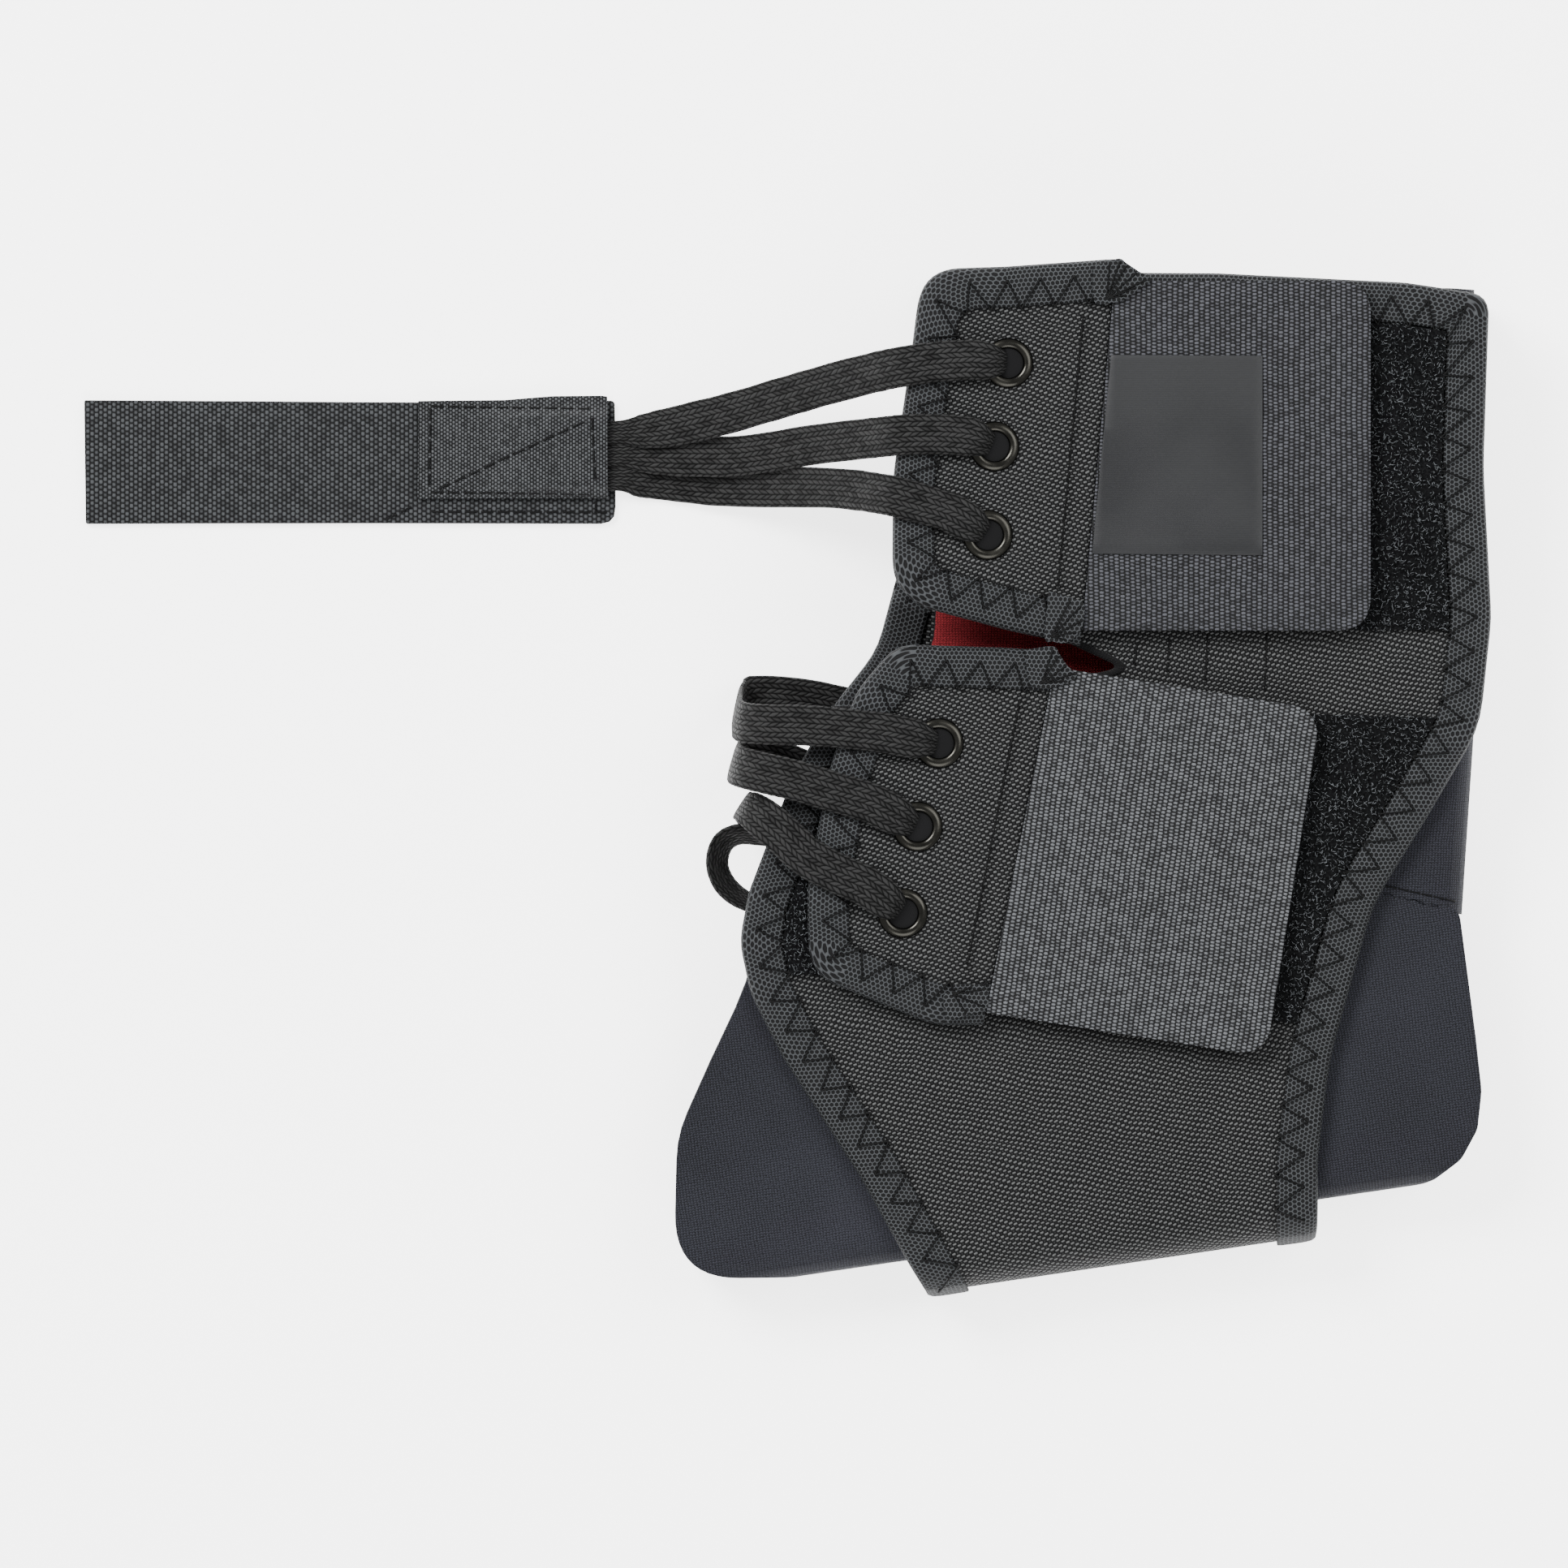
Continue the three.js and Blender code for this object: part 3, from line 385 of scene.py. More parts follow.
# lace braid
def makeBraid():
    paint = Paint("laceBraid")
    along, across, place = paint.pattern()
    drift = paint.cloud(place, 0.35) - 0.5
    columns = across / 1.04 + drift * 0.1
    column = columns.math("FLOOR")
    inColumn = columns.math("FRACT") - 0.5
    lean = (column % 2) * 2 - 1
    runs = along / 1.55 + inColumn * lean * 0.85 + (column % 2) * 0.5 + drift * 0.5
    inRun = runs.math("FRACT") - 0.5
    strand = paint.random(column, runs.math("FLOOR"))
    crown = (inRun * math.pi).math("COSINE") ** 0.45 * (inColumn * math.pi).math("COSINE") ** 0.5
    fibre = paint.cloud(paint.join(along * 0.7 + inColumn * lean, across * 9.0), 1.2, 3.0)
    lit = crown * (0.55 + strand * 0.55) * (0.6 + fibre * 0.8)
    colour = paint.blend(paint.ease(lit, 0.1, 0.8), srgb(1, 1, 1), srgb(40, 40, 40))
    return paint.finish(colour, paint.ease(lit, 0.0, 1.0, 0.85, 0.6), crown + fibre * 0.25, 0.32, 1.0,
                        Specular_IOR_Level=0.12)


braidMaterial = makeBraid()

# Each row is a station: x, y, z, then shares of the lace's width and thickness.
lace = {"width": 8.3, "thickness": 1.2, "sides": 16, "parts": 6, "slackLean": 0.6}
laceRoutes = {
    "upper_lace_1": [
        [-50, 71.4, 3, 0.61, 1.3], [-35, 71.4, 3.1, 0.61, 1.3], [-29, 71.8, 4.9, 0.86, 1.1],
        [-22, 72.9, 7, 1, 1], [-11.4, 75.4, 10.6, 1, 1], [-1.9, 78.1, 15, 1, 1], [7.8, 80.8, 21, 1, 1],
        [15, 82.6, 26.6, 1, 1], [20.4, 83.8, 31.4, 1, 1], [24.5, 84.5, 33.8, 1, 1], [30, 85.3, 33.5, 1, 1],
        [37.4, 85.8, 33.1, 1, 1], [40.6, 85.6, 33, 0.97, 1], [42.6, 85.5, 32.2, 0.82, 1.1],
        [44.2, 85.4, 30.6, 0.62, 1.2], [44.9, 85.3, 28.9, 0.62, 1.2],
    ],
    "upper_lace_2": [
        [-50, 66.7, 3, 0.61, 1.3], [-35, 66.7, 3, 0.61, 1.3], [-29, 66.7, 3.2, 0.86, 1.1],
        [-22, 66.6, 4.6, 1, 1], [-11.4, 66.5, 7.6, 1, 1], [-3, 67.4, 11.5, 1, 1], [4.6, 68.6, 16.2, 1, 1],
        [12, 69.4, 22.8, 1, 1], [17.5, 69.9, 28.8, 1, 1], [21, 70.2, 33.1, 1, 1], [24.5, 70.5, 34, 1, 1],
        [30.3, 70.6, 33.7, 1, 1], [34.6, 70.4, 33.2, 1, 1], [37.9, 70, 33.1, 0.97, 1],
        [39.9, 69.3, 32.4, 0.82, 1.1], [41.4, 68.8, 30.7, 0.62, 1.2], [42.1, 68.5, 29, 0.62, 1.2],
    ],
    "upper_lace_3": [
        [-50, 62, 3, 0.61, 1.3], [-35, 62, 3, 0.61, 1.3], [-30.5, 61.8, 2.2, 0.86, 1.1],
        [-25.6, 61.4, 1.3, 0.9, 1], [-14.4, 60.5, 3.2, 1, 1], [-5, 60.2, 7.4, 1, 1], [2.5, 60.1, 12.8, 1, 1],
        [9.5, 59.8, 19.6, 1, 1], [15, 59.2, 26, 1, 1], [19, 58.5, 31.4, 1, 1], [22.1, 57.9, 33.8, 1, 1],
        [27, 56.6, 33.6, 1, 1], [32, 55.1, 33.3, 0.95, 1], [34.5, 54.1, 33.2, 1, 1],
        [37, 52.7, 33.1, 0.97, 1], [38.9, 51.6, 32.3, 0.82, 1.1], [40.2, 50.8, 30.7, 0.62, 1.2],
        [40.7, 50.5, 29.1, 0.62, 1.2],
    ],
    "lower_lace_1": [
        [30.75, 7.5, 28.9, 0.62, 1.2], [30.1, 7.6, 30.6, 0.62, 1.2], [28.5, 7.9, 32.2, 0.82, 1.1],
        [26.4, 8.3, 33, 0.97, 1], [23.4, 8.9, 33.2, 1, 1], [19, 9.7, 33.2, 1, 1],
        [10.3, 10.6, 33.6, 1, 1], [3, 11.1, 33.9, 1, 1], [-4, 11.3, 33.4, 1, 1], [-8.2, 11.6, 31, 1, 1],
        [-9.8, 12.3, 26.5, 1, 1], [-10, 13.4, 20, 1, 1], [-10, 14.8, 12, 1, 1], [-9.2, 16.3, 6.5, 1, 1],
        [-6.3, 17.3, 3.6, 1, 1], [2, 16.8, 2.8, 1, 1], [10.1, 15.4, 2.3, 1, 1], [16, 13.5, 1.9, 1, 1],
        [22, 11, 1.4, 1, 1], [26.4, 8.9, 0.95, 0.7, 1.1], [28.7, 8.2, 1.2, 0.5, 1.2],
        [30.1, 7.7, 2.4, 0.42, 1.3], [30.8, 7.5, 4, 0.42, 1.3],
    ],
    "lower_lace_2": [
        [26.4, -9.4, 28.5, 0.62, 1.2], [25.8, -9.1, 30.2, 0.62, 1.2], [24.4, -8.4, 31.8, 0.82, 1.1],
        [22.5, -7.4, 32.7, 0.97, 1], [19.9, -6.1, 32.9, 1, 1], [16.5, -4.5, 33, 1, 1],
        [9.1, -2.3, 33.3, 1, 1], [2, -0.2, 33.6, 1, 1], [-3, 1, 33.4, 1, 1], [-7.6, 2.1, 31.6, 1, 1],
        [-10, 2.9, 27.5, 1, 1], [-10.6, 3.4, 21, 1, 1], [-10.6, 4, 13, 1, 1], [-9.8, 4.6, 6.8, 1, 1],
        [-6.5, 5, 3.6, 1, 1], [1, 3, 2.9, 1, 1], [10, -1.4, 2.3, 1, 1], [17, -5, 1.8, 1, 1],
        [22.3, -7.6, 1.1, 0.7, 1.1], [24.5, -8.6, 1.3, 0.5, 1.2], [25.8, -9.1, 2.6, 0.42, 1.3],
        [26.5, -9.4, 4.2, 0.42, 1.3],
    ],
    "lower_lace_3": [
        [23.5, -26.9, 27.6, 0.42, 1.3], [22.9, -26.4, 29.3, 0.62, 1.2], [21.8, -25.7, 31.2, 0.82, 1.1],
        [20.1, -24.4, 32, 0.97, 1], [17.9, -22.8, 32.2, 1, 1], [15.2, -21.2, 32.4, 1, 1],
        [10.8, -19.3, 32.6, 1, 1], [4.4, -15.8, 33, 1, 1], [-0.5, -11.4, 32.6, 1, 1], [-4.6, -8, 31.4, 1, 1],
        [-7.4, -6, 28.5, 0.9, 1], [-8.6, -5.4, 24, 0.8, 1], [-8.9, -5.3, 17.5, 0.8, 1],
        [-8.7, -5.4, 11, 0.8, 1], [-7.6, -6.2, 6, 0.9, 1], [-4.6, -8.2, 3.4, 1, 1], [2, -12.4, 2.8, 1, 1],
        [9, -17, 2.3, 1, 1], [15, -21.2, 1.9, 1, 1], [19.9, -24.6, 1.1, 0.7, 1.1],
        [21.9, -25.9, 1.3, 0.5, 1.2], [23, -26.6, 2.6, 0.42, 1.3], [23.5, -27, 4.2, 0.42, 1.3],
    ],
    "slack_lace": [
        [10, -14, 17.6, 0.7, 1], [1, -12.6, 17.6, 0.7, 1], [-5, -11.6, 17.5, 0.86, 1],
        [-9.5, -11.2, 17.2, 1, 1], [-12.6, -12.6, 17, 1, 1], [-14, -15.6, 17, 1, 1], [-13.8, -19, 17, 1, 1],
        [-11.8, -22.4, 17, 1, 1], [-8, -25, 17.4, 0.86, 1], [-2, -26.6, 17.5, 0.66, 1],
        [7, -27.2, 17.5, 0.64, 1],
    ],
}
# Lengths of the seven visible runs along the routes above, in metres; none was measured on a real lace
laceLengths = {"upper_lace_1": 0.107, "upper_lace_2": 0.105, "upper_lace_3": 0.107, "lower_lace_1": 0.112,
               "lower_lace_2": 0.107, "lower_lace_3": 0.104, "slack_lace": 0.054}


def addLace(name, rows, onEdge=False):
    places = [Vector(row[:3]) for row in rows]
    heading = places[min(4, len(places) - 1)] - places[0]
    side = Vector((-heading.y, heading.x, 0)).normalized()
    centre = sum(places, Vector()) / len(places)
    sides = []
    for index, place in enumerate(places):
        tangent = (places[min(len(places) - 1, index + 1)] - places[max(0, index - 1)]).normalized()
        level = Vector((-tangent.y, tangent.x, 0))
        if onEdge:
            side = (place - centre).normalized() * lace["slackLean"] + Vector((0, 0, 1))
        elif level.length > 0.5:
            side = level if level.dot(side) > 0 else -level
        side = (side - tangent * side.dot(tangent)).normalized()
        sides.append(side.copy())
    fine = smoothLine([[*row, *around] for row, around in zip(rows, sides)], lace["parts"])
    middle = [Vector(row[:3]) for row in fine]
    sections, patterns, travelled = [], [], 0.0
    for index, row in enumerate(fine):
        tangent = (middle[min(len(fine) - 1, index + 1)] - middle[max(0, index - 1)]).normalized()
        across = Vector(row[5:8])
        across = (across - tangent * across.dot(tangent)).normalized()
        up = tangent.cross(across)
        if index:
            travelled += (middle[index] - middle[index - 1]).length
        halfWidth, halfThick = row[3] * lace["width"] / 2, row[4] * lace["thickness"] / 2
        ripple = 1 + 0.012 * math.sin(travelled * 4.1)
        ring, flat = [], []
        for step in range(lace["sides"]):
            turn = 2 * math.pi * step / lace["sides"]
            out = math.copysign(abs(math.cos(turn)) ** 0.75, math.cos(turn))
            rise = math.copysign(abs(math.sin(turn)) ** 0.55, math.sin(turn))
            ring.append(middle[index] + across * (out * halfWidth * ripple) + up * (rise * halfThick))
            flat.append((travelled, out * lace["width"] / 2))
        sections.append(ring)
        patterns.append(flat)
    piece = addPiece(name.replace("_lace_", "Lace").replace("_lace", "Lace"),
                     sweep(sections, patterns, closed=True), [braidMaterial], "lace_braid", [name])
    path = [[value * mm for value in point] for point in middle]
    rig.cord(piece, exit=path[0], length=laceLengths[name], diameter=lace["width"] * mm, far_end="object",
            stiffness="limp", lay="loose", path=path)
    print("lace", name, "is", round(travelled, 1), "mm long")
    return piece


for laceName, laceRows in laceRoutes.items():
    addLace(laceName, laceRows, onEdge=laceName == "slack_lace")
print("stage: laces")

# where the cloth lies
brace = {"left": -22.4, "bottom": -106.5, "width": 167, "height": 213, "farLevel": 4.6, "frontLift": 6,
         "liftEnd": 0.455, "flatAbove": 0.12, "liftAbove": 0.4, "stack": 11.2, "hollowAtSole": 5,
         "hollowAtTop": 10, "hollowBulge": 2, "waviness": 0.35}
depth = {"tape": 0.9, "shellWall": 1.6, "linerOuter": -2.8, "linerWall": 2.8, "flapInner": 2.1,
         "flapOuter": 3.7, "tabOuter": 4.6}


def acrossTo(share):
    return brace["left"] + share * brace["width"]


def upTo(share):
    return brace["bottom"] + share * brace["height"]


def softRamp(value, reach=0.06):  # max(0, value) with its corner rounded
    if value <= -reach:
        return 0.0
    return value if value >= reach else (value + reach) ** 2 / (4 * reach)


def faces(x, y):  # heights of the far and the near shell's outer faces
    along, up = (x - brace["left"]) / brace["width"], (y - brace["bottom"]) / brace["height"]
    front = softRamp((brace["liftEnd"] - along) / brace["liftEnd"])
    span = brace["liftAbove"] - brace["flatAbove"]
    rise = softRamp((up - brace["flatAbove"]) / span, 0.15) - softRamp((up - brace["liftAbove"]) / span, 0.15)
    far = brace["farLevel"] + brace["frontLift"] * front * rise
    climb = softRamp((up - brace["flatAbove"]) / (1 - brace["flatAbove"]), 0.04)
    crown = (math.sin(math.pi * min(1, max(0, along))) * math.sin(math.pi * min(1, climb)))
    hollow = (brace["hollowAtSole"] + (brace["hollowAtTop"] - brace["hollowAtSole"]) * climb
              + brace["hollowBulge"] * crown)
    wave = brace["waviness"] * noise.noise(Vector((x / 31, y / 27, 4.2))) * min(1, climb * 6)
    return far, far + brace["stack"] + hollow + wave


def drape(side, x, y, out):
    far, near = faces(x, y)
    return Vector((x, y, near + out if side == "near" else far - out))


soleTurn = math.radians(8.4)
soleAlong = Vector((math.cos(soleTurn), math.sin(soleTurn)))
soleInward = Vector((-math.sin(soleTurn), math.cos(soleTurn)))
soleMiddle = Vector((acrossTo(0.546), brace["bottom"] + 6.8))
foldShape = 0.85
soleHalf = (brace["stack"] + brace["hollowAtSole"]) / 2


def quarterArc(half):
    wide = half * foldShape
    return math.pi / 4 * (3 * (wide + half) - math.sqrt((3 * wide + half) * (wide + 3 * half))) / 1.0


class SoleFold:  # near half, round the sole, far half as one flat pattern
    def __init__(self, inset, surface):
        self.inset, self.surface = inset, surface
        self.half = soleHalf + surface
        self.centre = self.half * foldShape
        self.quarter = quarterArc(self.half) / 1.0

    def flat(self, side, x, y):
        at = Vector((x, y)) - soleMiddle
        inward = at.dot(soleInward) - self.inset
        if inward >= self.centre:
            run = self.quarter + inward - self.centre
        else:
            share = max(-1, min(1, (self.centre - inward) / self.centre))
            run = self.quarter * math.acos(share) / (math.pi / 2)
        return at.dot(soleAlong), run if side == "near" else -run

    def place(self, along, run, out):
        sign = 1 if run >= 0 else -1
        if abs(run) >= self.quarter:
            inward = self.centre + abs(run) - self.quarter
            at = soleMiddle + soleAlong * along + soleInward * (inward + self.inset)
            return drape("near" if sign > 0 else "far", at.x, at.y, self.surface + out)
        turn = abs(run) / self.quarter * math.pi / 2
        inward = self.centre - (self.centre + out) * math.cos(turn)
        at = soleMiddle + soleAlong * along + soleInward * (inward + self.inset)
        level = brace["farLevel"] + soleHalf
        return Vector((at.x, at.y, level + sign * (self.half + out) * math.sin(turn)))

    def onto(self, side, x, y, out):
        along, run = self.flat(side, x, y)
        return self.place(along, run, out)


class BackFold:  # the ankle liner turns round the heel side
    def __init__(self, surface):
        self.surface = surface

    def station(self, y):
        up = (y - brace["bottom"]) / brace["height"]
        tip = acrossTo(0.966 + 0.015 * min(1, max(0, (up - 0.37) / 0.18)))
        far, near = faces(tip, y)
        far, near = faces(tip - (near - far) / 2 * foldShape, y)
        half = (near - far) / 2 + self.surface
        return tip, half, (near + far) / 2

    def flat(self, side, x, y):
        tip, half, _ = self.station(y)
        centre, quarter = half * foldShape, quarterArc(half)
        inward = tip - x
        if inward >= centre:
            run = quarter + inward - centre
        else:
            run = quarter * math.acos(max(-1, min(1, (centre - inward) / centre))) / (math.pi / 2)
        return (-run if side == "near" else run), y

    def place(self, run, y, out):
        tip, half, middle = self.station(y)
        centre, quarter = half * foldShape, quarterArc(half)
        sign = 1 if run <= 0 else -1
        if abs(run) >= quarter:
            return drape("near" if sign > 0 else "far", tip - (centre + abs(run) - quarter), y,
                         self.surface + out)
        turn = abs(run) / quarter * math.pi / 2
        inward = centre - (centre + out) * math.cos(turn)
        return Vector((tip - inward, y, middle + sign * (half + out) * math.sin(turn)))

    def onto(self, side, x, y, out):
        return self.place(*self.flat(side, x, y), out)


# outlines: share along, share up, corner bend as a share of the width
shellRows = [
    (0.342, -0.047, 0), (0.225, 0.118, 0.2), (0.13, 0.233, 0.2), (0.091, 0.293, 0.12), (0.077, 0.344, 0.09),
    (0.088, 0.391, 0.1), (0.141, 0.5, 0.2), (0.193, 0.572, 0.2), (0.246, 0.625, 0.12), (0.289, 0.75, 0.3),
    (0.3, 0.87, 0.3), (0.35, 0.968, 0.07), (0.465, 0.988, 0.15), (0.665, 0.987, 0.3), (0.894, 0.978, 0.15),
    (0.997, 0.966, 0.028), (0.99, 0.8, 0.4), (1, 0.655, 0.2), (0.986, 0.551, 0.15), (0.919, 0.461, 0.3),
    (0.855, 0.38, 0.2), (0.802, 0.231, 0.4), (0.787, 0.134, 0.2), (0.789, -0.031, 0),
]
notchRows = [(0.19, 0.571, 0.01), (0.3, 0.57, 0.1), (0.47, 0.594, 0.1), (0.545, 0.608, 0.006),
             (0.465, 0.637, 0.1), (0.325, 0.668, 0.1), (0.266, 0.683, 0.02)]
hemRows = [(0.961, 0.375, 0.02), (0.615, 0.437, 0.4), (0.15, 0.465, 0.02)]
footRows = [
    (0.295, -0.016, 0), (0.166, 0.02, 0), (-0.004, 0.019, 0.125), (0, 0.156, 0.15), (0.041, 0.228, 0.3),
    (0.087, 0.304, 0.3), (0.111, 0.391, 0.2), *reversed(hemRows), (0.982, 0.25, 0.4), (0.989, 0.2, 0.06),
    (0.984, 0.163, 0.03), (0.964, 0.134, 0.03), (0.931, 0.114, 0.03), (0.89, 0.102, 0.04),
    (0.854, 0.094, 0.06), (0.764, 0, 0),
]
ankleRows = [
    (0.966, 0.37, 0), *hemRows[1:], (0.206, 0.5, 0.1), (0.255, 0.563, 0.2), (0.315, 0.625, 0.1),
    (0.325, 0.782, 0.3), (0.34, 0.954, 0.04), (0.465, 0.972, 0.1), (0.99, 0.972, 0),
]
ankleNotchRows = [(0.235, 0.553, 0.01), (0.33, 0.561, 0.1), (0.47, 0.586, 0.1), (0.556, 0.608, 0.006),
                  (0.465, 0.645, 0.1), (0.36, 0.672, 0.1), (0.317, 0.685, 0.02)]
flapRows = {
    "upper": [(0.645, 1, 0), (0.53, 1, 0.1), (0.405, 0.993, 0.1), (0.301, 0.99, 0.08), (0.289, 0.915, 0.2),
              (0.266, 0.794, 0.3), (0.265, 0.673, 0.07), (0.408, 0.643, 0.2), (0.6, 0.61, 0)],
    "lower": [(0.56, 0.62, 0), (0.395, 0.627, 0.1), (0.27, 0.63, 0.05), (0.221, 0.586, 0.1),
              (0.186, 0.508, 0.3), (0.16, 0.395, 0.2), (0.163, 0.313, 0.06), (0.315, 0.264, 0.1),
              (0.46, 0.264, 0)],
}
flapEnds = {"upper": ((0.536, 0.979), (0.496, 0.643)), "lower": ((0.463, 0.608), (0.379, 0.277))}
eyelets = {"upper": ((0.406, 0.9), (0.389, 0.82), (0.381, 0.735)),
           "lower": ((0.321, 0.535), (0.295, 0.455), (0.277, 0.372))}


def meet(point, heading, cut):  # where a line crosses a cut line given by a point and its direction
    origin, direction = cut
    normal = Vector((-direction.y, direction.x))
    return point + heading * ((origin - point).dot(normal) / heading.dot(normal))


def edgePoints(rows, grow=0.0, cuts=(None, None), spacing=1.6, counts=None):
    corners = [(Vector((acrossTo(a), upTo(u))), bend * brace["width"]) for a, u, bend in rows]
    points = [corner[0] for corner in corners]
    area = sum(a.cross(b) for a, b in zip(points, points[1:] + points[:1]))
    outward = 1 if area > 0 else -1
    headings = [(b - a).normalized() for a, b in zip(points, points[1:])]
    grown = []
    for index, (point, bend) in enumerate(corners):
        arriving = headings[max(0, index - 1)]
        leaving = headings[min(len(headings) - 1, index)]
        normalIn = Vector((arriving.y, -arriving.x)) * outward
        normalOut = Vector((leaving.y, -leaving.x)) * outward
        miter = (normalIn + normalOut) * (grow / (1 + normalIn.dot(normalOut)))
        turn = math.copysign(1, arriving.cross(leaving) * outward)
        grown.append((point + miter, 0 if bend == 0 else max(0.3, bend + turn * grow)))
    if cuts[0]:
        grown[0] = (meet(grown[0][0], headings[0], cuts[0]), 0)
    if cuts[1]:
        grown[-1] = (meet(grown[-1][0], headings[-1], cuts[1]), 0)
    plan = counts if counts is not None else []
    taken = iter(counts) if counts is not None else None
    path = [grown[0][0]]
    for index in range(1, len(grown)):
        here, bend = grown[index]
        if index < len(grown) - 1:
            back, ahead = grown[index - 1][0] - here, grown[index + 1][0] - here
            room = 0.48 * min(back.length, ahead.length)
            opening = math.acos(max(-1, min(1, back.normalized().dot(ahead.normalized()))))
            reach = min(room, bend / math.tan(opening / 2))
            start, end = here + back.normalized() * reach, here + ahead.normalized() * reach
            steps = max(2, math.ceil((math.pi - opening) / math.radians(9)))
        else:
            start = end = here
            steps = 0
        straight = max(1, round((start - path[-1]).length / spacing))
        if taken is not None:
            straight, steps = next(taken)
        else:
            plan.append((straight, steps))
        origin = path[-1]
        path += [origin.lerp(start, part / straight) for part in range(1, straight + 1)]
        for part in range(1, steps + 1):
            t = part / steps
            path.append(start * (1 - t) ** 2 + here * (2 * t * (1 - t)) + end * t * t)
    return path, plan


def cutCloth(outline, spacing, place, side="near"):
    bm = bmesh.new()
    bm.faces.new([bm.verts.new((x, y, 0)) for x, y in outline])
    for axis in (0, 1):
        low, high = min(p[axis] for p in outline), max(p[axis] for p in outline)
        for index in range(1, math.ceil((high - low) / spacing)):
            at, normal = [0, 0, 0], [0, 0, 0]
            at[axis], normal[axis] = low + index * spacing, 1
            bmesh.ops.bisect_plane(bm, geom=bm.verts[:] + bm.edges[:] + bm.faces[:], dist=0.001,
                                   plane_co=at, plane_no=normal)
    bmesh.ops.dissolve_degenerate(bm, dist=0.02, edges=bm.edges)
    flatArea = sum(face.calc_area() for face in bm.faces)
    flat = {vert: (vert.co.x, vert.co.y) for vert in bm.verts}
    writePattern(bm, flat.get)
    for vert in bm.verts:
        vert.co = place(*flat[vert])
    bm.normal_update()
    facing(bm, side)
    size = [max(p[axis] for p in outline) - min(p[axis] for p in outline) for axis in (0, 1)]
    print("cut", [round(value, 1) for value in size], "mm, area", round(flatArea), "mm2")
    return bm


def thicken(piece, wall, soft=0.25, innerMaterial=0, rimMaterial=0):
    solid = piece.modifiers.new("wall", "SOLIDIFY")
    solid.thickness = wall * mm
    solid.offset = -1
    solid.use_even_offset = True
    solid.material_offset = innerMaterial
    solid.material_offset_rim = rimMaterial
    if soft:
        bevel = piece.modifiers.new("softEdge", "BEVEL")
        bevel.width = soft * mm
        bevel.segments = 2
        bevel.limit_method = "ANGLE"
        bevel.angle_limit = math.radians(50)
    return piece


print("stage: outlines")


# cloth finishes
def makeNylon():
    paint = Paint("shellNylon")
    x, y, place = paint.pattern()
    drift = (paint.cloud(place, 0.12) - 0.5) * 1.4
    across, up = (x + y * 0.22 + drift) / 0.86, (y - x * 0.3 + drift) / 0.62
    fx, fy, column, row = paint.cells(across, up)
    over = (column + row) % 2
    crownX, crownY = (fx * math.pi).math("COSINE"), (fy * math.pi).math("COSINE")
    weft, warp = crownY * crownX ** 0.35, crownX * crownY ** 0.35
    height = paint.pick(over, warp * 0.8, weft)
    fibre = paint.cloud(paint.join(across * 0.6, up * 3.5), 3.0, 3.0)
    thread = paint.random(column, row)
    lit = height * paint.pick(over, 0.3 + thread * 0.12, 0.85 + thread * 0.3) * (0.65 + fibre * 0.6)
    worn = paint.cloud(paint.spot(), 24.0, 3.0)
    dark = paint.blend(worn, srgb(3, 3, 4), srgb(7, 7, 8))
    # the threads' own weave pattern, with their crowns painted lighter as painted highlight and the gaps between them
    # painted darker as painted shade
    grain = paint.ease(lit, 0.15, 0.72)
    colour = paint.blend(grain, dark, srgb(78, 79, 79))
    return paint.finish(colour, paint.ease(lit, 0, 1, 0.8, 0.5), height + fibre * 0.2, 0.22, 1.0,
                        Specular_IOR_Level=0.16)


def makeNet():
    paint = Paint("netTape")
    x, y, place = paint.pattern()
    drift = (paint.cloud(place, 0.16) - 0.5) * 1.1
    u, v = (x + drift) / 0.98, (y + drift) / 0.98
    tall = 3 ** 0.5

    def fold(shift):
        a = (u + shift) % 1.0 - 0.5
        b = (v + shift * tall) % tall - tall / 2
        return a, b, a * a + b * b

    firstA, firstB, firstFar = fold(0.0)
    secondA, secondB, secondFar = fold(0.5)
    nearer = firstFar.math("LESS_THAN", secondFar)
    a, b = abs(paint.pick(nearer, secondA, firstA)), abs(paint.pick(nearer, secondB, firstB))
    rim = (a * 0.5 + b * (tall / 2)).math("MAXIMUM", a)
    thread = paint.ease(rim, 0.27, 0.45)
    fibre = paint.cloud(place, 5.0, 3.0)
    lit = thread * (0.45 + fibre * 0.9)
    colour = paint.blend(paint.ease(lit, 0.1, 0.8), srgb(2, 2, 3), srgb(58, 60, 62))
    return paint.finish(colour, 0.75, thread + fibre * 0.2, 0.3, 0.9, Specular_IOR_Level=0.2)


def makeJersey(name, dark, light, gain=1.0):
    paint = Paint(name)
    x, y, place = paint.pattern()
    drift = (paint.cloud(place, 0.2) - 0.5) * 0.8
    across, up = (x + drift) / 0.62, (y + drift) / 0.5
    fx = across.math("FRACT") - 0.5
    fy = (up + abs(fx) * 0.9).math("FRACT") - 0.5
    loop = (fx * math.pi * 2).math("COSINE") * 0.35 + 0.65
    height = (fy * math.pi).math("COSINE") * loop
    fuzz = paint.cloud(place, 2.6, 4.0)
    broad = paint.cloud(paint.spot(), 30.0, 3.0)
    lit = paint.ease(height * 0.45 + fuzz * 0.7 + broad * 0.25, 0.35, 1.0)
    colour = paint.blend(lit, dark, light)
    return paint.finish(colour, 0.86, height + fuzz * 0.5, 0.12, 0.8 * gain, Sheen_Weight=0.04,
                        Sheen_Roughness=0.45, Specular_IOR_Level=0.15)


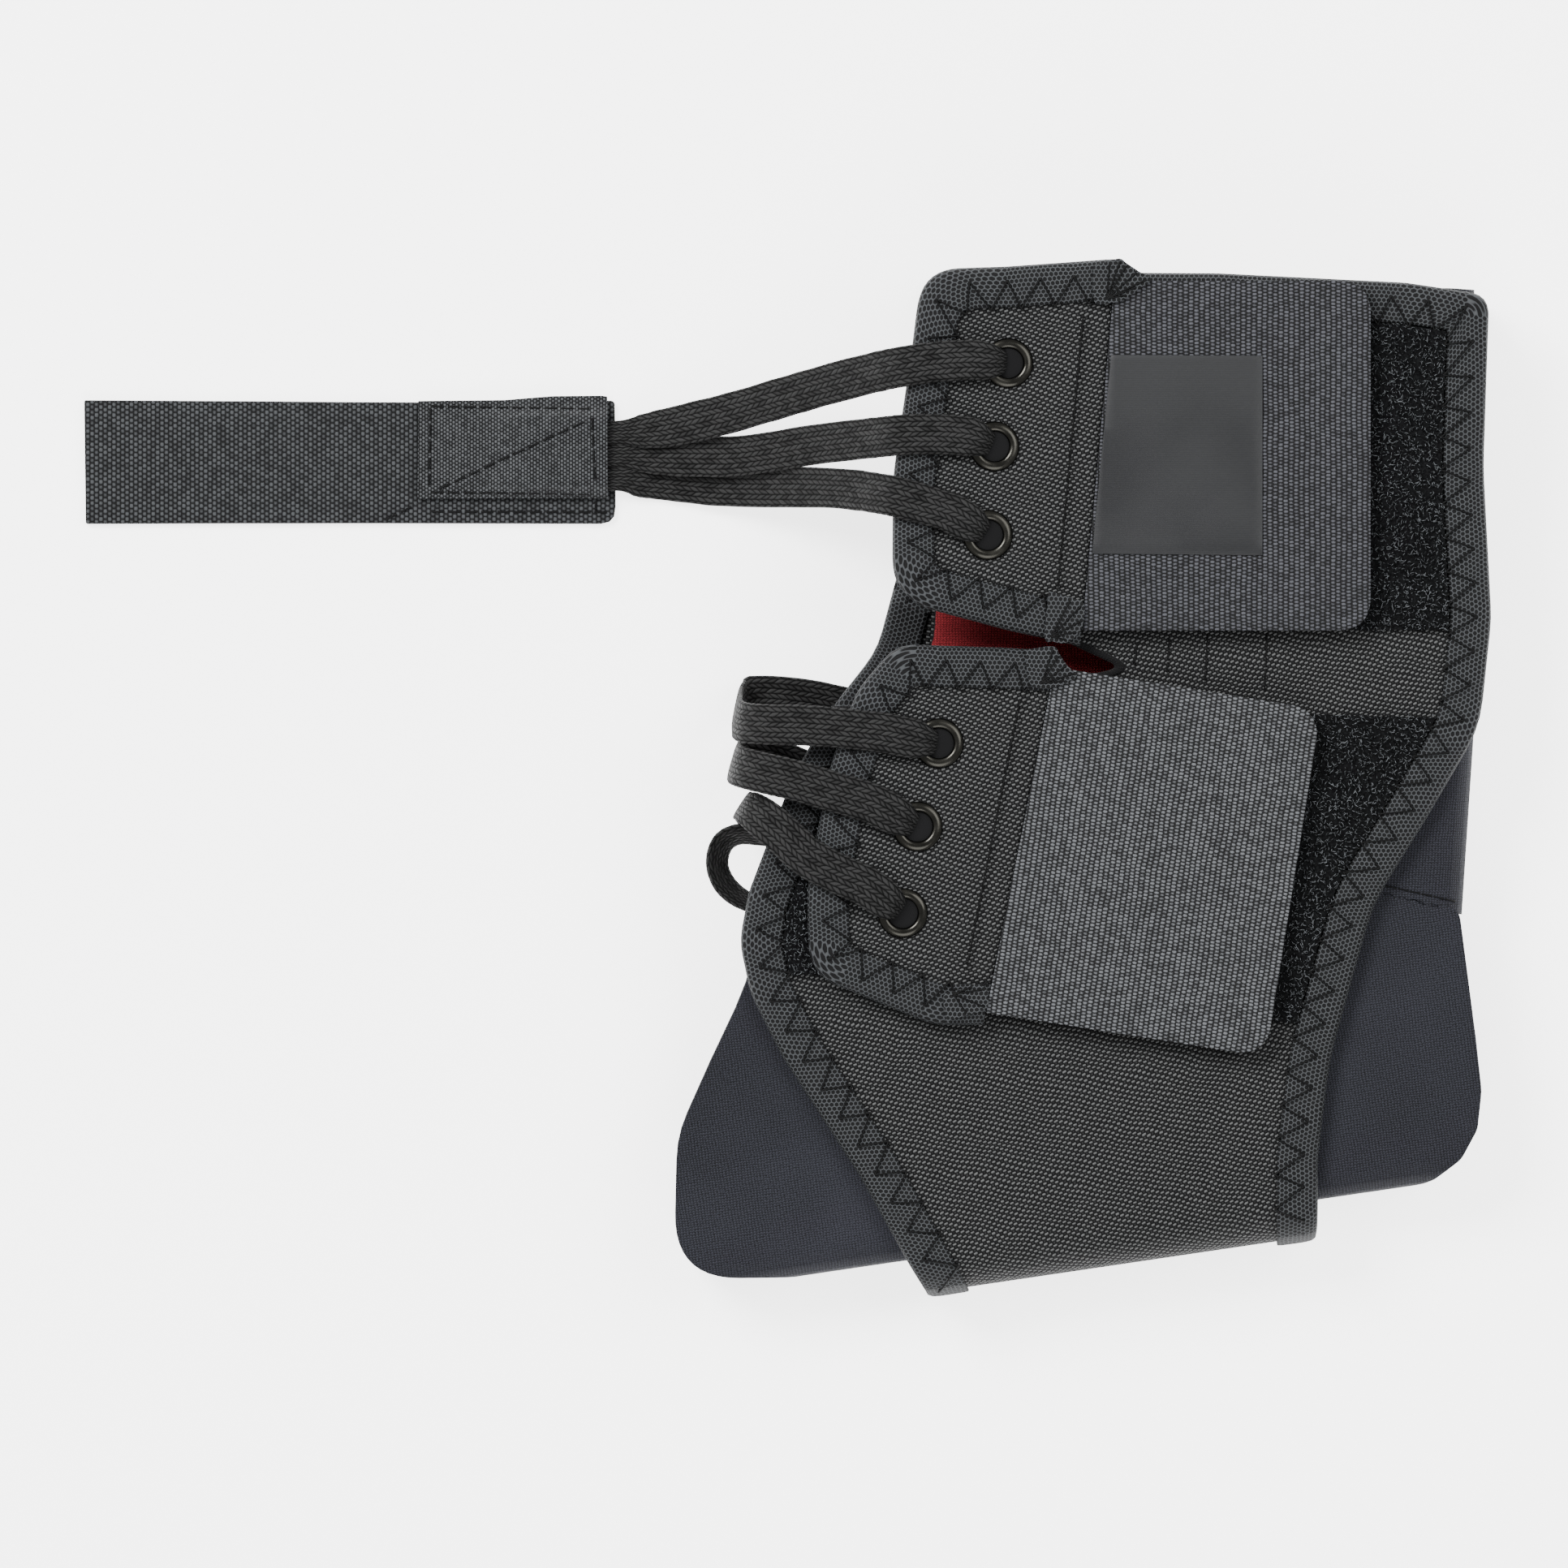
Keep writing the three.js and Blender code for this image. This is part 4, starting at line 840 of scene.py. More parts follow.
def makeHookBacking(name, dark, light):
    paint = Paint(name)
    x, y, place = paint.pattern()
    drift = (paint.cloud(place, 0.1) - 0.5) * 0.8
    across = (x + drift) / 1.08
    up = (y + drift) / 0.74 + (across.math("FLOOR") % 2) * 0.5
    fx, fy, column, row = paint.cells(across, up)
    dot = (fx * math.pi).math("COSINE") ** 0.55 * (fy * math.pi).math("COSINE") ** 0.7
    grain = paint.random(column, row)
    fibre = paint.cloud(place, 4.5, 3.0)
    lit = paint.ease(dot * (0.65 + grain * 0.4) + (fibre - 0.5) * 0.9, 0.3, 0.85)
    colour = paint.blend(lit, dark, light)
    return paint.finish(colour, 0.7, dot + fibre * 0.3, 0.16, 0.9, Specular_IOR_Level=0.2)


def makeWebbing(name, pitchX, pitchY, dark, light):
    paint = Paint(name)
    x, y, place = paint.pattern()
    across = x / pitchX
    up = y / pitchY + (across.math("FLOOR") % 2) * 0.5
    fx, fy, column, row = paint.cells(across, up)
    rib = (fx * math.pi).math("COSINE") ** 0.6 * (fy * math.pi).math("COSINE") ** 0.8
    fibre = paint.cloud(place, 3.8, 3.0)
    lit = paint.ease(rib * (0.55 + paint.random(column, row) * 0.4) * (0.5 + fibre * 0.9), 0.15, 0.75)
    colour = paint.blend(lit, dark, light)
    return paint.finish(colour, 0.74, rib + fibre * 0.25, 0.22, 0.9, Specular_IOR_Level=0.2)


def makePile(name, dark, light):
    paint = Paint(name)
    where = paint.spot()
    fuzz = paint.cloud(where, 1800.0, 3.0)
    broad = paint.cloud(where, 120.0, 2.0)
    lit = paint.ease(fuzz, 0.42, 0.62) * (0.3 + broad)
    colour = paint.blend(lit, dark, light)
    return paint.finish(colour, 0.85, fuzz, 0.3, 0.6, Specular_IOR_Level=0.1)


def makeSatin():
    paint = Paint("labelSatin")
    x, y, place = paint.pattern()
    fx, fy, column, row = paint.cells(x / 0.9, y / 0.26)
    rib = (fy * math.pi).math("COSINE")
    streak = paint.cloud(paint.join(x * 0.8, y * 6.0), 1.0, 3.0)
    broad = paint.cloud(paint.spot(), 45.0, 2.0)
    lit = rib * 0.35 + streak * 0.4 + broad * 0.35
    colour = paint.blend(lit, srgb(7, 7, 8), srgb(32, 33, 35))
    return paint.finish(colour, paint.ease(broad, 0.3, 0.7, 0.38, 0.5), rib * 0.5 + streak * 0.5, 0.03, 0.6,
                        Specular_IOR_Level=0.3)


def makeThread(name, dark, light):
    paint = Paint(name)
    where = paint.spot()
    twist = paint.add("ShaderNodeTexWave", {"bands_direction": "DIAGONAL"}, {
        "Vector": where, "Scale": 900.0, "Distortion": 2.0, "Detail": 1.0})
    colour = paint.blend(twist, dark, light)
    return paint.finish(colour, 0.6, twist, 0.05, 0.6, Specular_IOR_Level=0.12)


def makeGunmetal():
    paint = Paint("gunmetal")
    where = paint.spot()
    cloud = paint.cloud(where, 350.0, 4.0)
    fine = paint.cloud(where, 2600.0, 2.0)
    colour = paint.blend(cloud, srgb(34, 34, 32), srgb(60, 59, 55))
    return paint.finish(colour, paint.ease(cloud, 0.3, 0.7, 0.2, 0.34), fine, 0.01, 0.4, Metallic=1.0)


nylon = makeNylon()
net = makeNet()
neoprene = makeJersey("neopreneJersey", srgb(7, 7, 9), srgb(45, 46, 53))
redJersey = makeJersey("redJersey", srgb(72, 14, 19), srgb(150, 48, 54))
hookUpper = makeHookBacking("hookBackingUpper", srgb(6, 6, 7), srgb(68, 69, 74))
hookLower = makeHookBacking("hookBackingLower", srgb(9, 9, 10), srgb(88, 90, 93))
pullWebbing = makeWebbing("pullWebbing", 0.9, 1.1, srgb(3, 3, 4), srgb(60, 62, 64))
patchWebbing = makeWebbing("patchWebbing", 0.62, 0.8, srgb(4, 4, 5), srgb(72, 74, 76))
pileBase = makePile("pileBase", srgb(2, 2, 3), srgb(12, 13, 14))
pileLoop = makePile("pileLoop", srgb(4, 4, 5), srgb(98, 101, 104))
satin = makeSatin()
trim = makeJersey("edgeTrim", srgb(4, 4, 5), srgb(18, 18, 19))
seamThread = makeThread("seamThread", srgb(1, 1, 1), srgb(9, 9, 10))
gunmetal = makeGunmetal()
cutEdge = makePile("cutEdge", srgb(4, 4, 5), srgb(40, 41, 44))
print("stage: finishes")

# shell: nylon laminate folded under the sole
shell = {"spacing": 2.4, "wall": 1.6}
soleCut = (soleMiddle, soleAlong)
shellFold = SoleFold(0, 0)
nearWallRows = shellRows[:7] + notchRows + shellRows[9:]
nearEdge, _ = edgePoints(nearWallRows, -depth["tape"], (soleCut, soleCut))
farEdge, _ = edgePoints(shellRows, -depth["tape"], (soleCut, soleCut))
shellPattern = [shellFold.flat("near", p.x, p.y) for p in nearEdge]
shellPattern += [shellFold.flat("far", p.x, p.y) for p in reversed(farEdge[1:-1])]
shellCloth = cutCloth(shellPattern, shell["spacing"], lambda a, r: shellFold.place(a, r, 0))
shellPiece = addPiece("shellCloth", shellCloth, [nylon], "shell_nylon", ["shell"])
thicken(shellPiece, shell["wall"])
print("stage: shell")


# binding tape: a U round an edge, swept along it
def declareSheet(piece, outline, held, restsOn=(), withPieces=()):
    points = [Vector(point) for point in outline]
    width, length = [(max(p[axis] for p in points) - min(p[axis] for p in points)) * mm for axis in (0, 1)]
    area = abs(sum(a.cross(b) for a, b in zip(points, points[1:] + points[:1]))) / 2 * mm * mm
    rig.sheet(piece, (width, length), held, rests_on=restsOn, area=area, with_pieces=withPieces)
    print("sheet", piece.name, round(width, 4), "x", round(length, 4), "m, area", round(area, 6), "m2")


def declareTape(piece, section, restsOn, withPieces=()):
    width = sum((Vector(b) - Vector(a)).length for a, b in zip(section, section[1:])) * mm
    length = sum(face.area for face in piece.data.polygons) / width
    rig.sheet(piece, (width, length), "folded", rests_on=[restsOn], with_pieces=withPieces)
    print("tape", piece.name, round(width, 4), "x", round(length, 4), "m")


def bindEdge(runs, section):
    sections, patterns, travelled, last = [], [], 0.0, None
    for side, rows, cuts, place, backwards in runs:
        _, counts = edgePoints(rows, 0, cuts)
        columns = [edgePoints(rows, -inset, cuts, counts=counts)[0] for inset, _ in section]
        order = range(len(columns[0]))
        for index in reversed(order) if backwards else order:
            ring = [place(side, column[index].x, column[index].y, out)
                    for column, (_, out) in zip(columns, section)]
            if last is not None:
                step = (ring[2] - last).length
                if step < 0.05:
                    continue
                travelled += step
            last = ring[2]
            widths, total = [0.0], 0.0
            for a, b in zip(ring, ring[1:]):
                total += (b - a).length
                widths.append(total)
            sections.append(ring)
            patterns.append([(travelled % 380, width) for width in widths])
    return sweep(sections, patterns, side=runs[0][0])


shellTape = {"wall": 0.55, "section": [
    (8.4, 0.45), (8.3, 0.8), (7.4, 0.92), (5, 0.95), (2.8, 0.95), (1.3, 0.8), (0.4, 0.3), (0, -0.8),
    (0.4, -1.9), (1.3, -2.35), (2.8, -2.5), (5, -2.5), (7.4, -2.45), (8.4, -2.2)]}
upperRun = [(0.262, 0.67, 0)] + shellRows[9:]
lowerRun = shellRows[:7] + [(0.19, 0.571, 0)]
tapeRuns = [("near", upperRun, (None, soleCut), shellFold.onto, False),
            ("far", shellRows, (soleCut, soleCut), shellFold.onto, True),
            ("near", lowerRun, (soleCut, None), shellFold.onto, False)]
tapePiece = addPiece("shellTape", bindEdge(tapeRuns, shellTape["section"]), [net], "mesh_tape",
                     ["shell_binding"])
thicken(tapePiece, shellTape["wall"], 0)

print("stage: shell tape")

# liners: neoprene, black jersey outside and red inside
liner = {"wall": 2.8, "spacing": 2.6, "inset": 7.3}
footFold = SoleFold(liner["inset"], depth["linerOuter"])
footCut = (soleMiddle + soleInward * liner["inset"], soleAlong)
footEdge, _ = edgePoints(footRows, 0, (footCut, footCut))
footPattern = [footFold.flat("near", p.x, p.y) for p in footEdge]
footPattern += [footFold.flat("far", p.x, p.y) for p in reversed(footEdge[1:-1])]
footPiece = addPiece("footLiner", cutCloth(footPattern, liner["spacing"], lambda a, r: footFold.place(a, r, 0)),
                     [neoprene, redJersey, cutEdge], "neoprene", ["foot_liner"])
thicken(footPiece, liner["wall"], 0.6, 1, 2)
declareSheet(footPiece, footPattern, "folded", [shellPiece])

backFold = BackFold(depth["linerOuter"])
nearAnkleEdge, _ = edgePoints(ankleRows[:4] + ankleNotchRows + ankleRows[6:], 0)
farAnkleEdge, _ = edgePoints(ankleRows, 0)
anklePattern = [backFold.flat("near", p.x, p.y) for p in nearAnkleEdge]
anklePattern += [backFold.flat("far", p.x, p.y) for p in reversed(farAnkleEdge)]
anklePiece = addPiece("ankleLiner",
                      cutCloth(anklePattern, liner["spacing"], lambda r, y: backFold.place(r, y, 0)),
                      [neoprene, redJersey, cutEdge], "neoprene", ["ankle_liner"])
thicken(anklePiece, liner["wall"], 0.6, 1, 2)
declareSheet(anklePiece, anklePattern, "folded", [shellPiece])
print("stage: liners")

# flaps with taped edges, hook tabs and eyelets, on both halves
flap = {"spacing": 2.2, "wall": 1.6, "tapeWall": 0.5, "section": [
    (8.4, 4.1), (8.3, 4.45), (7.4, 4.57), (5, 4.6), (2.8, 4.6), (1.3, 4.45), (0.4, 3.95), (0, 2.9),
    (0.4, 1.85), (1.3, 1.35), (2.8, 1.2), (5, 1.2), (7.4, 1.25), (8.4, 1.5)]}
tab = {"wall": 2.3, "spacing": 2.2, "corner": 6, "upper": (52.5, 71.5, 0), "lower": (55.3, 72, 9)}


def endLine(wing, gap=0.0):
    top, bottom = (Vector((acrossTo(a), upTo(u))) for a, u in flapEnds[wing])
    down = (bottom - top).normalized()
    out = Vector((-down.y, down.x))
    return top + out * gap, down


def tabOutline(wing):
    width, height, tilt = tab[wing]
    turn = Matrix.Rotation(-math.radians(tilt), 2)
    origin = Vector((acrossTo(flapEnds[wing][0][0]), upTo(flapEnds[wing][0][1])))
    right, down = turn @ Vector((1, 0)), turn @ Vector((0, -1))
    cut = endLine(wing, 0.1)
    topRight, lowRight = origin + right * width, origin + right * width + down * height
    corners = [meet(topRight, right, cut), topRight, lowRight, meet(lowRight, right, cut)]
    path = [corners[0]]
    for before, here, after in ((0, 1, 2), (1, 2, 3)):
        start = corners[here] + (corners[before] - corners[here]).normalized() * tab["corner"]
        end = corners[here] + (corners[after] - corners[here]).normalized() * tab["corner"]
        for step in range(9):
            t = step / 8
            bow = 0.86
            path.append(start * (1 - t) ** 2 + corners[here].lerp((start + end) / 2, 1 - bow) * 2 * t * (1 - t)
                        + end * t * t)
    path.append(corners[3])
    return path


def seatEyelet(side, x, y):
    step = 5.15
    slopeX = (drape(side, x + step, y, 0).z - drape(side, x - step, y, 0).z) / (2 * step)
    slopeY = (drape(side, x, y + step, 0).z - drape(side, x, y - step, 0).z) / (2 * step)
    normal = Vector((-slopeX, -slopeY, 1)).normalized()
    middle = drape(side, x, y, (depth["flapInner"] + depth["flapOuter"]) / 2)
    if side == "far":
        normal.negate()
    return Matrix.Translation(middle) @ normal.to_track_quat("Z", "Y").to_matrix().to_4x4()


eyelet = {"steps": 56, "hole": 3.12, "shadeDiscUp": 0.9, "profile": [
    (3.05, -1.35), (3.05, 0.9), (3.12, 1.3), (3.36, 1.6), (3.8, 1.74), (4.3, 1.68), (4.75, 1.48),
    (5.05, 1.2), (5.15, 0.95), (4.95, 0.85), (3.6, 0.95), (3.55, -0.95), (4.2, -1.05), (4.25, -1.3),
    (3.7, -1.55), (3.25, -1.55)]}


def addEyelet(side, wing, index, share):
    bm = bmesh.new()
    ring = [bm.verts.new((radius, 0, height)) for radius, height in eyelet["profile"]]
    edges = [bm.edges.new(pair) for pair in zip(ring, ring[1:] + ring[:1])]
    bmesh.ops.spin(bm, geom=ring + edges, cent=(0, 0, 0), axis=(0, 0, 1), angle=2 * math.pi,
                   steps=eyelet["steps"], use_merge=True)
    bmesh.ops.remove_doubles(bm, verts=bm.verts, dist=0.001)
    bmesh.ops.recalc_face_normals(bm, faces=bm.faces)
    bmesh.ops.transform(bm, matrix=seatEyelet(side, acrossTo(share[0]), upTo(share[1])), verts=bm.verts)
    name = side + wing.capitalize() + "Eyelet" + str(index)
    addPiece(name, bm, [gunmetal], "eyelet_metal", [f"{side}_{wing}_eyelet_{index}"])
    bm = bmesh.new()  # a dark disc, painted shade down the hole that the lace goes down
    bmesh.ops.create_circle(bm, cap_ends=True, radius=eyelet["hole"], segments=24,
                            matrix=Matrix.Translation((0, 0, eyelet["shadeDiscUp"])))
    bmesh.ops.transform(bm, matrix=seatEyelet(side, acrossTo(share[0]), upTo(share[1])), verts=bm.verts)
    addPiece(name + "Well", bm, [trim], "shell_nylon")


flapTapes = {}


def addFlap(side, wing):
    cut = endLine(wing)
    title = side + wing.capitalize()
    edge, _ = edgePoints(flapRows[wing], -depth["tape"], (cut, cut))
    bm = cutCloth([(p.x, p.y) for p in edge], flap["spacing"],
                  lambda x, y: drape(side, x, y, depth["flapOuter"]), side)
    piece = addPiece(title + "Flap", bm, [nylon], "shell_nylon", [f"{side}_{wing}_flap"])
    thicken(piece, flap["wall"])
    declareSheet(piece, edge, "laid", [shellPiece])
    runs = [(side, flapRows[wing], (cut, cut), drape, False)]
    tape = addPiece(title + "FlapTape", bindEdge(runs, flap["section"]), [net], "mesh_tape",
                    [f"{side}_{wing}_flap_binding"])
    thicken(tape, flap["tapeWall"], 0)
    flapTapes[title] = tape
    turn = Matrix.Rotation(math.radians(tab[wing][2]), 2)
    outline = [turn @ p for p in tabOutline(wing)]
    back = turn.inverted()
    bm = cutCloth([(p.x, p.y) for p in outline], tab["spacing"],
                  lambda x, y: drape(side, *(back @ Vector((x, y))), depth["tabOuter"]), side)
    hook = addPiece(title + "HookTab", bm, [hookUpper if wing == "upper" else hookLower, cutEdge],
                    "hook_backing", [f"{side}_{wing}_hook_tab"])
    thicken(hook, tab["wall"], 0.5, 0, 1)
    declareSheet(hook, outline, "laid", [shellPiece])
    for index, share in enumerate(eyelets[wing], 1):
        addEyelet(side, wing, index, share)


for half in ("near", "far"):
    for wingName in ("upper", "lower"):
        addFlap(half, wingName)
print("stage: flaps")

# threads: each stitch is a short bowed length that dips into the cloth at both ends
thread = {"radius": 0.16, "bow": 0.26, "dip": 0.1, "knot": 1.8}


def stitch(start, end, place, out, bow=None):
    bow = thread["bow"] if bow is None else bow
    made = []
    for step in range(6):
        t = step / 5
        lift = out + bow * (1 - (2 * t - 1) ** 4) - thread["dip"] * (abs(2 * t - 1) ** 6)
        at = start.lerp(end, t)
        made.append(place(at.x, at.y, lift))
    return made


def addThreads(name, stitches, radius=None, material=None):
    curve = bpy.data.curves.new(name, "CURVE")
    curve.dimensions = "3D"
    curve.bevel_depth = (radius or thread["radius"]) * mm
    curve.bevel_resolution = 1
    curve.use_fill_caps = True
    for points in stitches:
        spline = curve.splines.new("POLY")
        spline.points.add(len(points) - 1)
        for index, (point, at) in enumerate(zip(spline.points, points)):
            point.co = (*(at * mm), 1)
            point.radius = thread["knot"] if index in (0, len(points) - 1) else 1
    holder = bpy.data.objects.new(name + "Curve", curve)
    bpy.context.scene.collection.objects.link(holder)
    evaluated = holder.evaluated_get(bpy.context.evaluated_depsgraph_get())
    mesh = bpy.data.meshes.new_from_object(evaluated)
    bpy.data.objects.remove(holder)
    mesh.name = name
    mesh.materials.clear()
    mesh.materials.append(material or seamThread)
    mesh.shade_smooth()
    piece = bpy.data.objects.new(name, mesh)
    bpy.context.scene.collection.objects.link(piece)
    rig.ride(piece, "root")
    return piece


def walk(path, at):  # the point that far along a path
    for a, b in zip(path, path[1:]):
        length = (b - a).length
        if at <= length:
            return a.lerp(b, at / max(length, 1e-9))
        at -= length
    return path[-1].copy()


def pathLength(path):
    return sum((b - a).length for a, b in zip(path, path[1:]))


zigzag = {"pitch": 6.9, "outer": 2.9, "inner": 8.9, "lean": 0.36, "out": 0.12}


def zigzagSeam(runs, surface):
    stitches = []
    for side, rows, cuts, place, backwards in runs:
        _, counts = edgePoints(rows, 0, cuts)
        outer, inner = (edgePoints(rows, -zigzag[key], cuts, counts=counts)[0] for key in ("outer", "inner"))
        middle = [a.lerp(b, 0.4) for a, b in zip(outer, inner)]
        total = pathLength(middle)
        lengths = [0.0]
        for a, b in zip(middle, middle[1:]):
            lengths.append(lengths[-1] + (b - a).length)

        def needle(at, path):
            index = max(i for i in range(len(lengths) - 1) if lengths[i] <= at)
            share = (at - lengths[index]) / max(1e-9, lengths[index + 1] - lengths[index])
            return path[index].lerp(path[index + 1], min(1, share))

        at, row = 1.0, 0
        points = []
        while at < total - 0.5:
            points.append((needle(at, inner if row % 2 else outer), row % 2))
            at += zigzag["pitch"] * (zigzag["lean"] if row % 2 else 1 - zigzag["lean"])
            row += 1

        def lay(x, y, out, side=side, place=place):
            return place(side, x, y, out)
        for (start, first), (end, second) in zip(points, points[1:]):
            stitches.append(stitch(start, end, lay, surface + zigzag["out"]))
    return stitches


def runningSeam(path, place, out, length=2.6, gap=0.5, bow=None):
    stitches, at, total = [], 0.3, pathLength(path)
    while at + length < total:
        stitches.append(stitch(walk(path, at), walk(path, at + length), place, out, bow))
        at += length + gap
    return stitches


def onSide(side, place=drape):
    return lambda x, y, out: place(side, x, y, out)


def photoPoint(px, py):  # a place measured on the photograph, in mm
    return Vector(((px - 968.5) / 6, (960.5 - py) / 6))


addThreads("shellTapeStitches", zigzagSeam(tapeRuns, 0.95))
for half in ("near", "far"):
    for wingName in ("upper", "lower"):
        line = endLine(wingName)
        wingRuns = [(half, flapRows[wingName], (line, line), drape, False)]
        seams = zigzagSeam(wingRuns, 4.6)
        start, down = endLine(wingName, -5.6)
        tall = tab[wingName][1]
        ridge = [start + down * 7.6, start + down * (tall - 8.2)]
        seams += runningSeam(ridge, onSide(half), depth["flapOuter"] + 0.5, 2.2, 0.45)
        addThreads(half + wingName.capitalize() + "FlapStitches", seams)
        # a raised welt where the flap's nylon is folded
        sections, patterns = [], []
        for step in range(41):
            at = ridge[0].lerp(ridge[1], step / 40)
            ring, flat = [], []
            for out, rise in ((-1.3, -0.25), (-0.95, 0.12), (-0.4, 0.42), (0.25, 0.5), (0.9, 0.3), (1.5, -0.25)):
                x = at.x + out + 0.12 * math.sin(step * 1.3)
                ring.append(drape(half, x, at.y, depth["flapOuter"] + rise))
                flat.append((x, at.y))
            sections.append(ring)
            patterns.append(flat)
        addPiece(half + wingName.capitalize() + "FlapWelt", sweep(sections, patterns, side=half), [nylon],
                 "shell_nylon")

# seams across the nylon band between the two piles, and the ankle liner's hem
bandSeams = []
for px, top, low in ((1400, 792, 826), (1440, 786, 838), (1487, 782, 846), (1560, 780, 860)):
    line = [photoPoint(px, top), photoPoint(px - 4, low)]
    bandSeams += runningSeam(line, onSide("near", shellFold.onto), 0.05, 1.9, 0.5, 0.14)
addThreads("bandStitches", bandSeams, 0.17)
hemSeam = []
for side in ("near", "far"):
    hem = [Vector((acrossTo(a), upTo(u) + 1.6)) for a, u in ((0.958, 0.375), (0.86, 0.392), (0.72, 0.417))]
    hemSeam += runningSeam(hem, onSide(side, backFold.onto), 0.02, 2.0, 0.5, 0.12)
addThreads("hemStitches", hemSeam, 0.16)
print("stage: threads")

# the tape's folded ends, sewn over the corners of the hook tabs
tapeEnd = {"wall": 0.5, "out": {"near": 5.25, "far": 4.8}, "spacing": 1.1, "shapes": {
    "upperTop": ((1346, 330), (1363, 325), (1378, 321), (1387, 327), (1402, 337), (1417, 347), (1400, 359),
                 (1386, 370), (1371, 375), (1347, 374)),
    "upperLow": ((1291, 729), (1318, 737), (1334, 744), (1334, 766), (1327, 782), (1311, 793), (1296, 791),
                 (1286, 786)),
    "lowerTop": ((1262, 801), (1296, 797), (1304, 806), (1314, 821), (1326, 832), (1312, 842), (1292, 848),
                 (1268, 843)),
    "lowerLow": ((1166, 1257), (1190, 1250), (1216, 1241), (1213, 1216), (1198, 1212), (1180, 1219),
                 (1162, 1226))}}
tapeEnds, fans = {}, []
for half in ("near", "far"):
    for title, spots in tapeEnd["shapes"].items():
        corners = [photoPoint(*spot) for spot in spots]
        middle = sum(corners, Vector((0, 0))) / len(corners)
        widest = max((corner - middle).length for corner in corners)

        def swell(x, y, out=0, half=half, middle=middle, widest=widest):
            away = (Vector((x, y)) - middle).length / widest
            return drape(half, x, y, tapeEnd["out"][half] + out + 0.35 * (1 - away * away))
        anchor = corners[-1].lerp(corners[-2], 0.5).lerp(middle, 0.15)
        fans += [stitch(anchor, corner.lerp(middle, 0.16), swell, 0.06, 0.1) for corner in corners[1:-2]]
        fine = smoothLine([list(corner) for corner in corners + corners[:1]], 4)[:-1]
        bm = cutCloth(fine, tapeEnd["spacing"], swell, half)
        piece = addPiece(half + title[0].upper() + title[1:] + "TapeEnd", bm, [net], "mesh_tape")
        thicken(piece, tapeEnd["wall"], 0.15)
        tapeEnds.setdefault(half + title[:5].capitalize(), []).append(piece)
addThreads("tapeEndStitches", fans)
for title, tape in flapTapes.items():
    declareTape(tape, flap["section"], title + "Flap", tapeEnds[title])
declareTape(tapePiece, shellTape["section"], shellPiece)
print("stage: tape ends")

# thin bound edge of the V between the wings, near half only
notchEdge = {"wall": 0.4, "section": [
    (-1.4, 0.05), (-1.3, 0.25), (-0.8, 0.35), (-0.3, 0.22), (0, -0.2), (0, -1.4), (-0.3, -1.9),
    (-0.8, -2), (-1.4, -1.9)]}
notchRun = [("near", notchRows[:1] + notchRows[1:-1] + notchRows[-1:], (None, None), shellFold.onto, False)]
notchPiece = addPiece("notchBinding", bindEdge(notchRun, notchEdge["section"]), [trim], "mesh_tape")
thicken(notchPiece, notchEdge["wall"], 0)
declareSheet(shellPiece, shellPattern, "folded", (), [notchPiece])

# loop pile: a matted base with thousands of small loops
pile = {"baseOut": 1.15, "baseWall": 0.85, "spacing": 2.2, "density": 1.7, "loopWire": 0.085, "loopRadius": 0.58,
        "loopHeight": 0.8, "clearOfTab": 2.2, "seed": 7}


def contains(polygon, x, y):
    within = False
    for a, b in zip(polygon, polygon[1:] + polygon[:1]):
        if (a.y > y) != (b.y > y) and x < (b.x - a.x) * (y - a.y) / (b.y - a.y) + a.x:
            within = not within
    return within


def makeLoop():
    sections = []
    for step in range(5):
        turn = math.pi * step / 4
        centre = Vector((math.cos(turn) * pile["loopRadius"], 0.1 * math.sin(2 * turn),
                         math.sin(turn) * pile["loopHeight"] - 0.08))
        out = Vector((math.cos(turn), 0, math.sin(turn)))
        sections.append([centre + (out * math.cos(a) + Vector((0, 1, 0)) * math.sin(a)) * pile["loopWire"]
                         for a in (0, 2.1, 4.2)])
    bm = sweep(sections, [[(0, 0)] * 3] * 5, closed=True)
    bmesh.ops.scale(bm, vec=(mm, mm, mm), verts=bm.verts)
    mesh = bpy.data.meshes.new("pileLoopShape")
    bm.to_mesh(mesh)
    bm.free()
    mesh.materials.append(pileLoop)
    mesh.shade_smooth()
    loop = bpy.data.objects.new("pileLoopShape", mesh)
    bpy.context.scene.collection.objects.link(loop)
    return loop


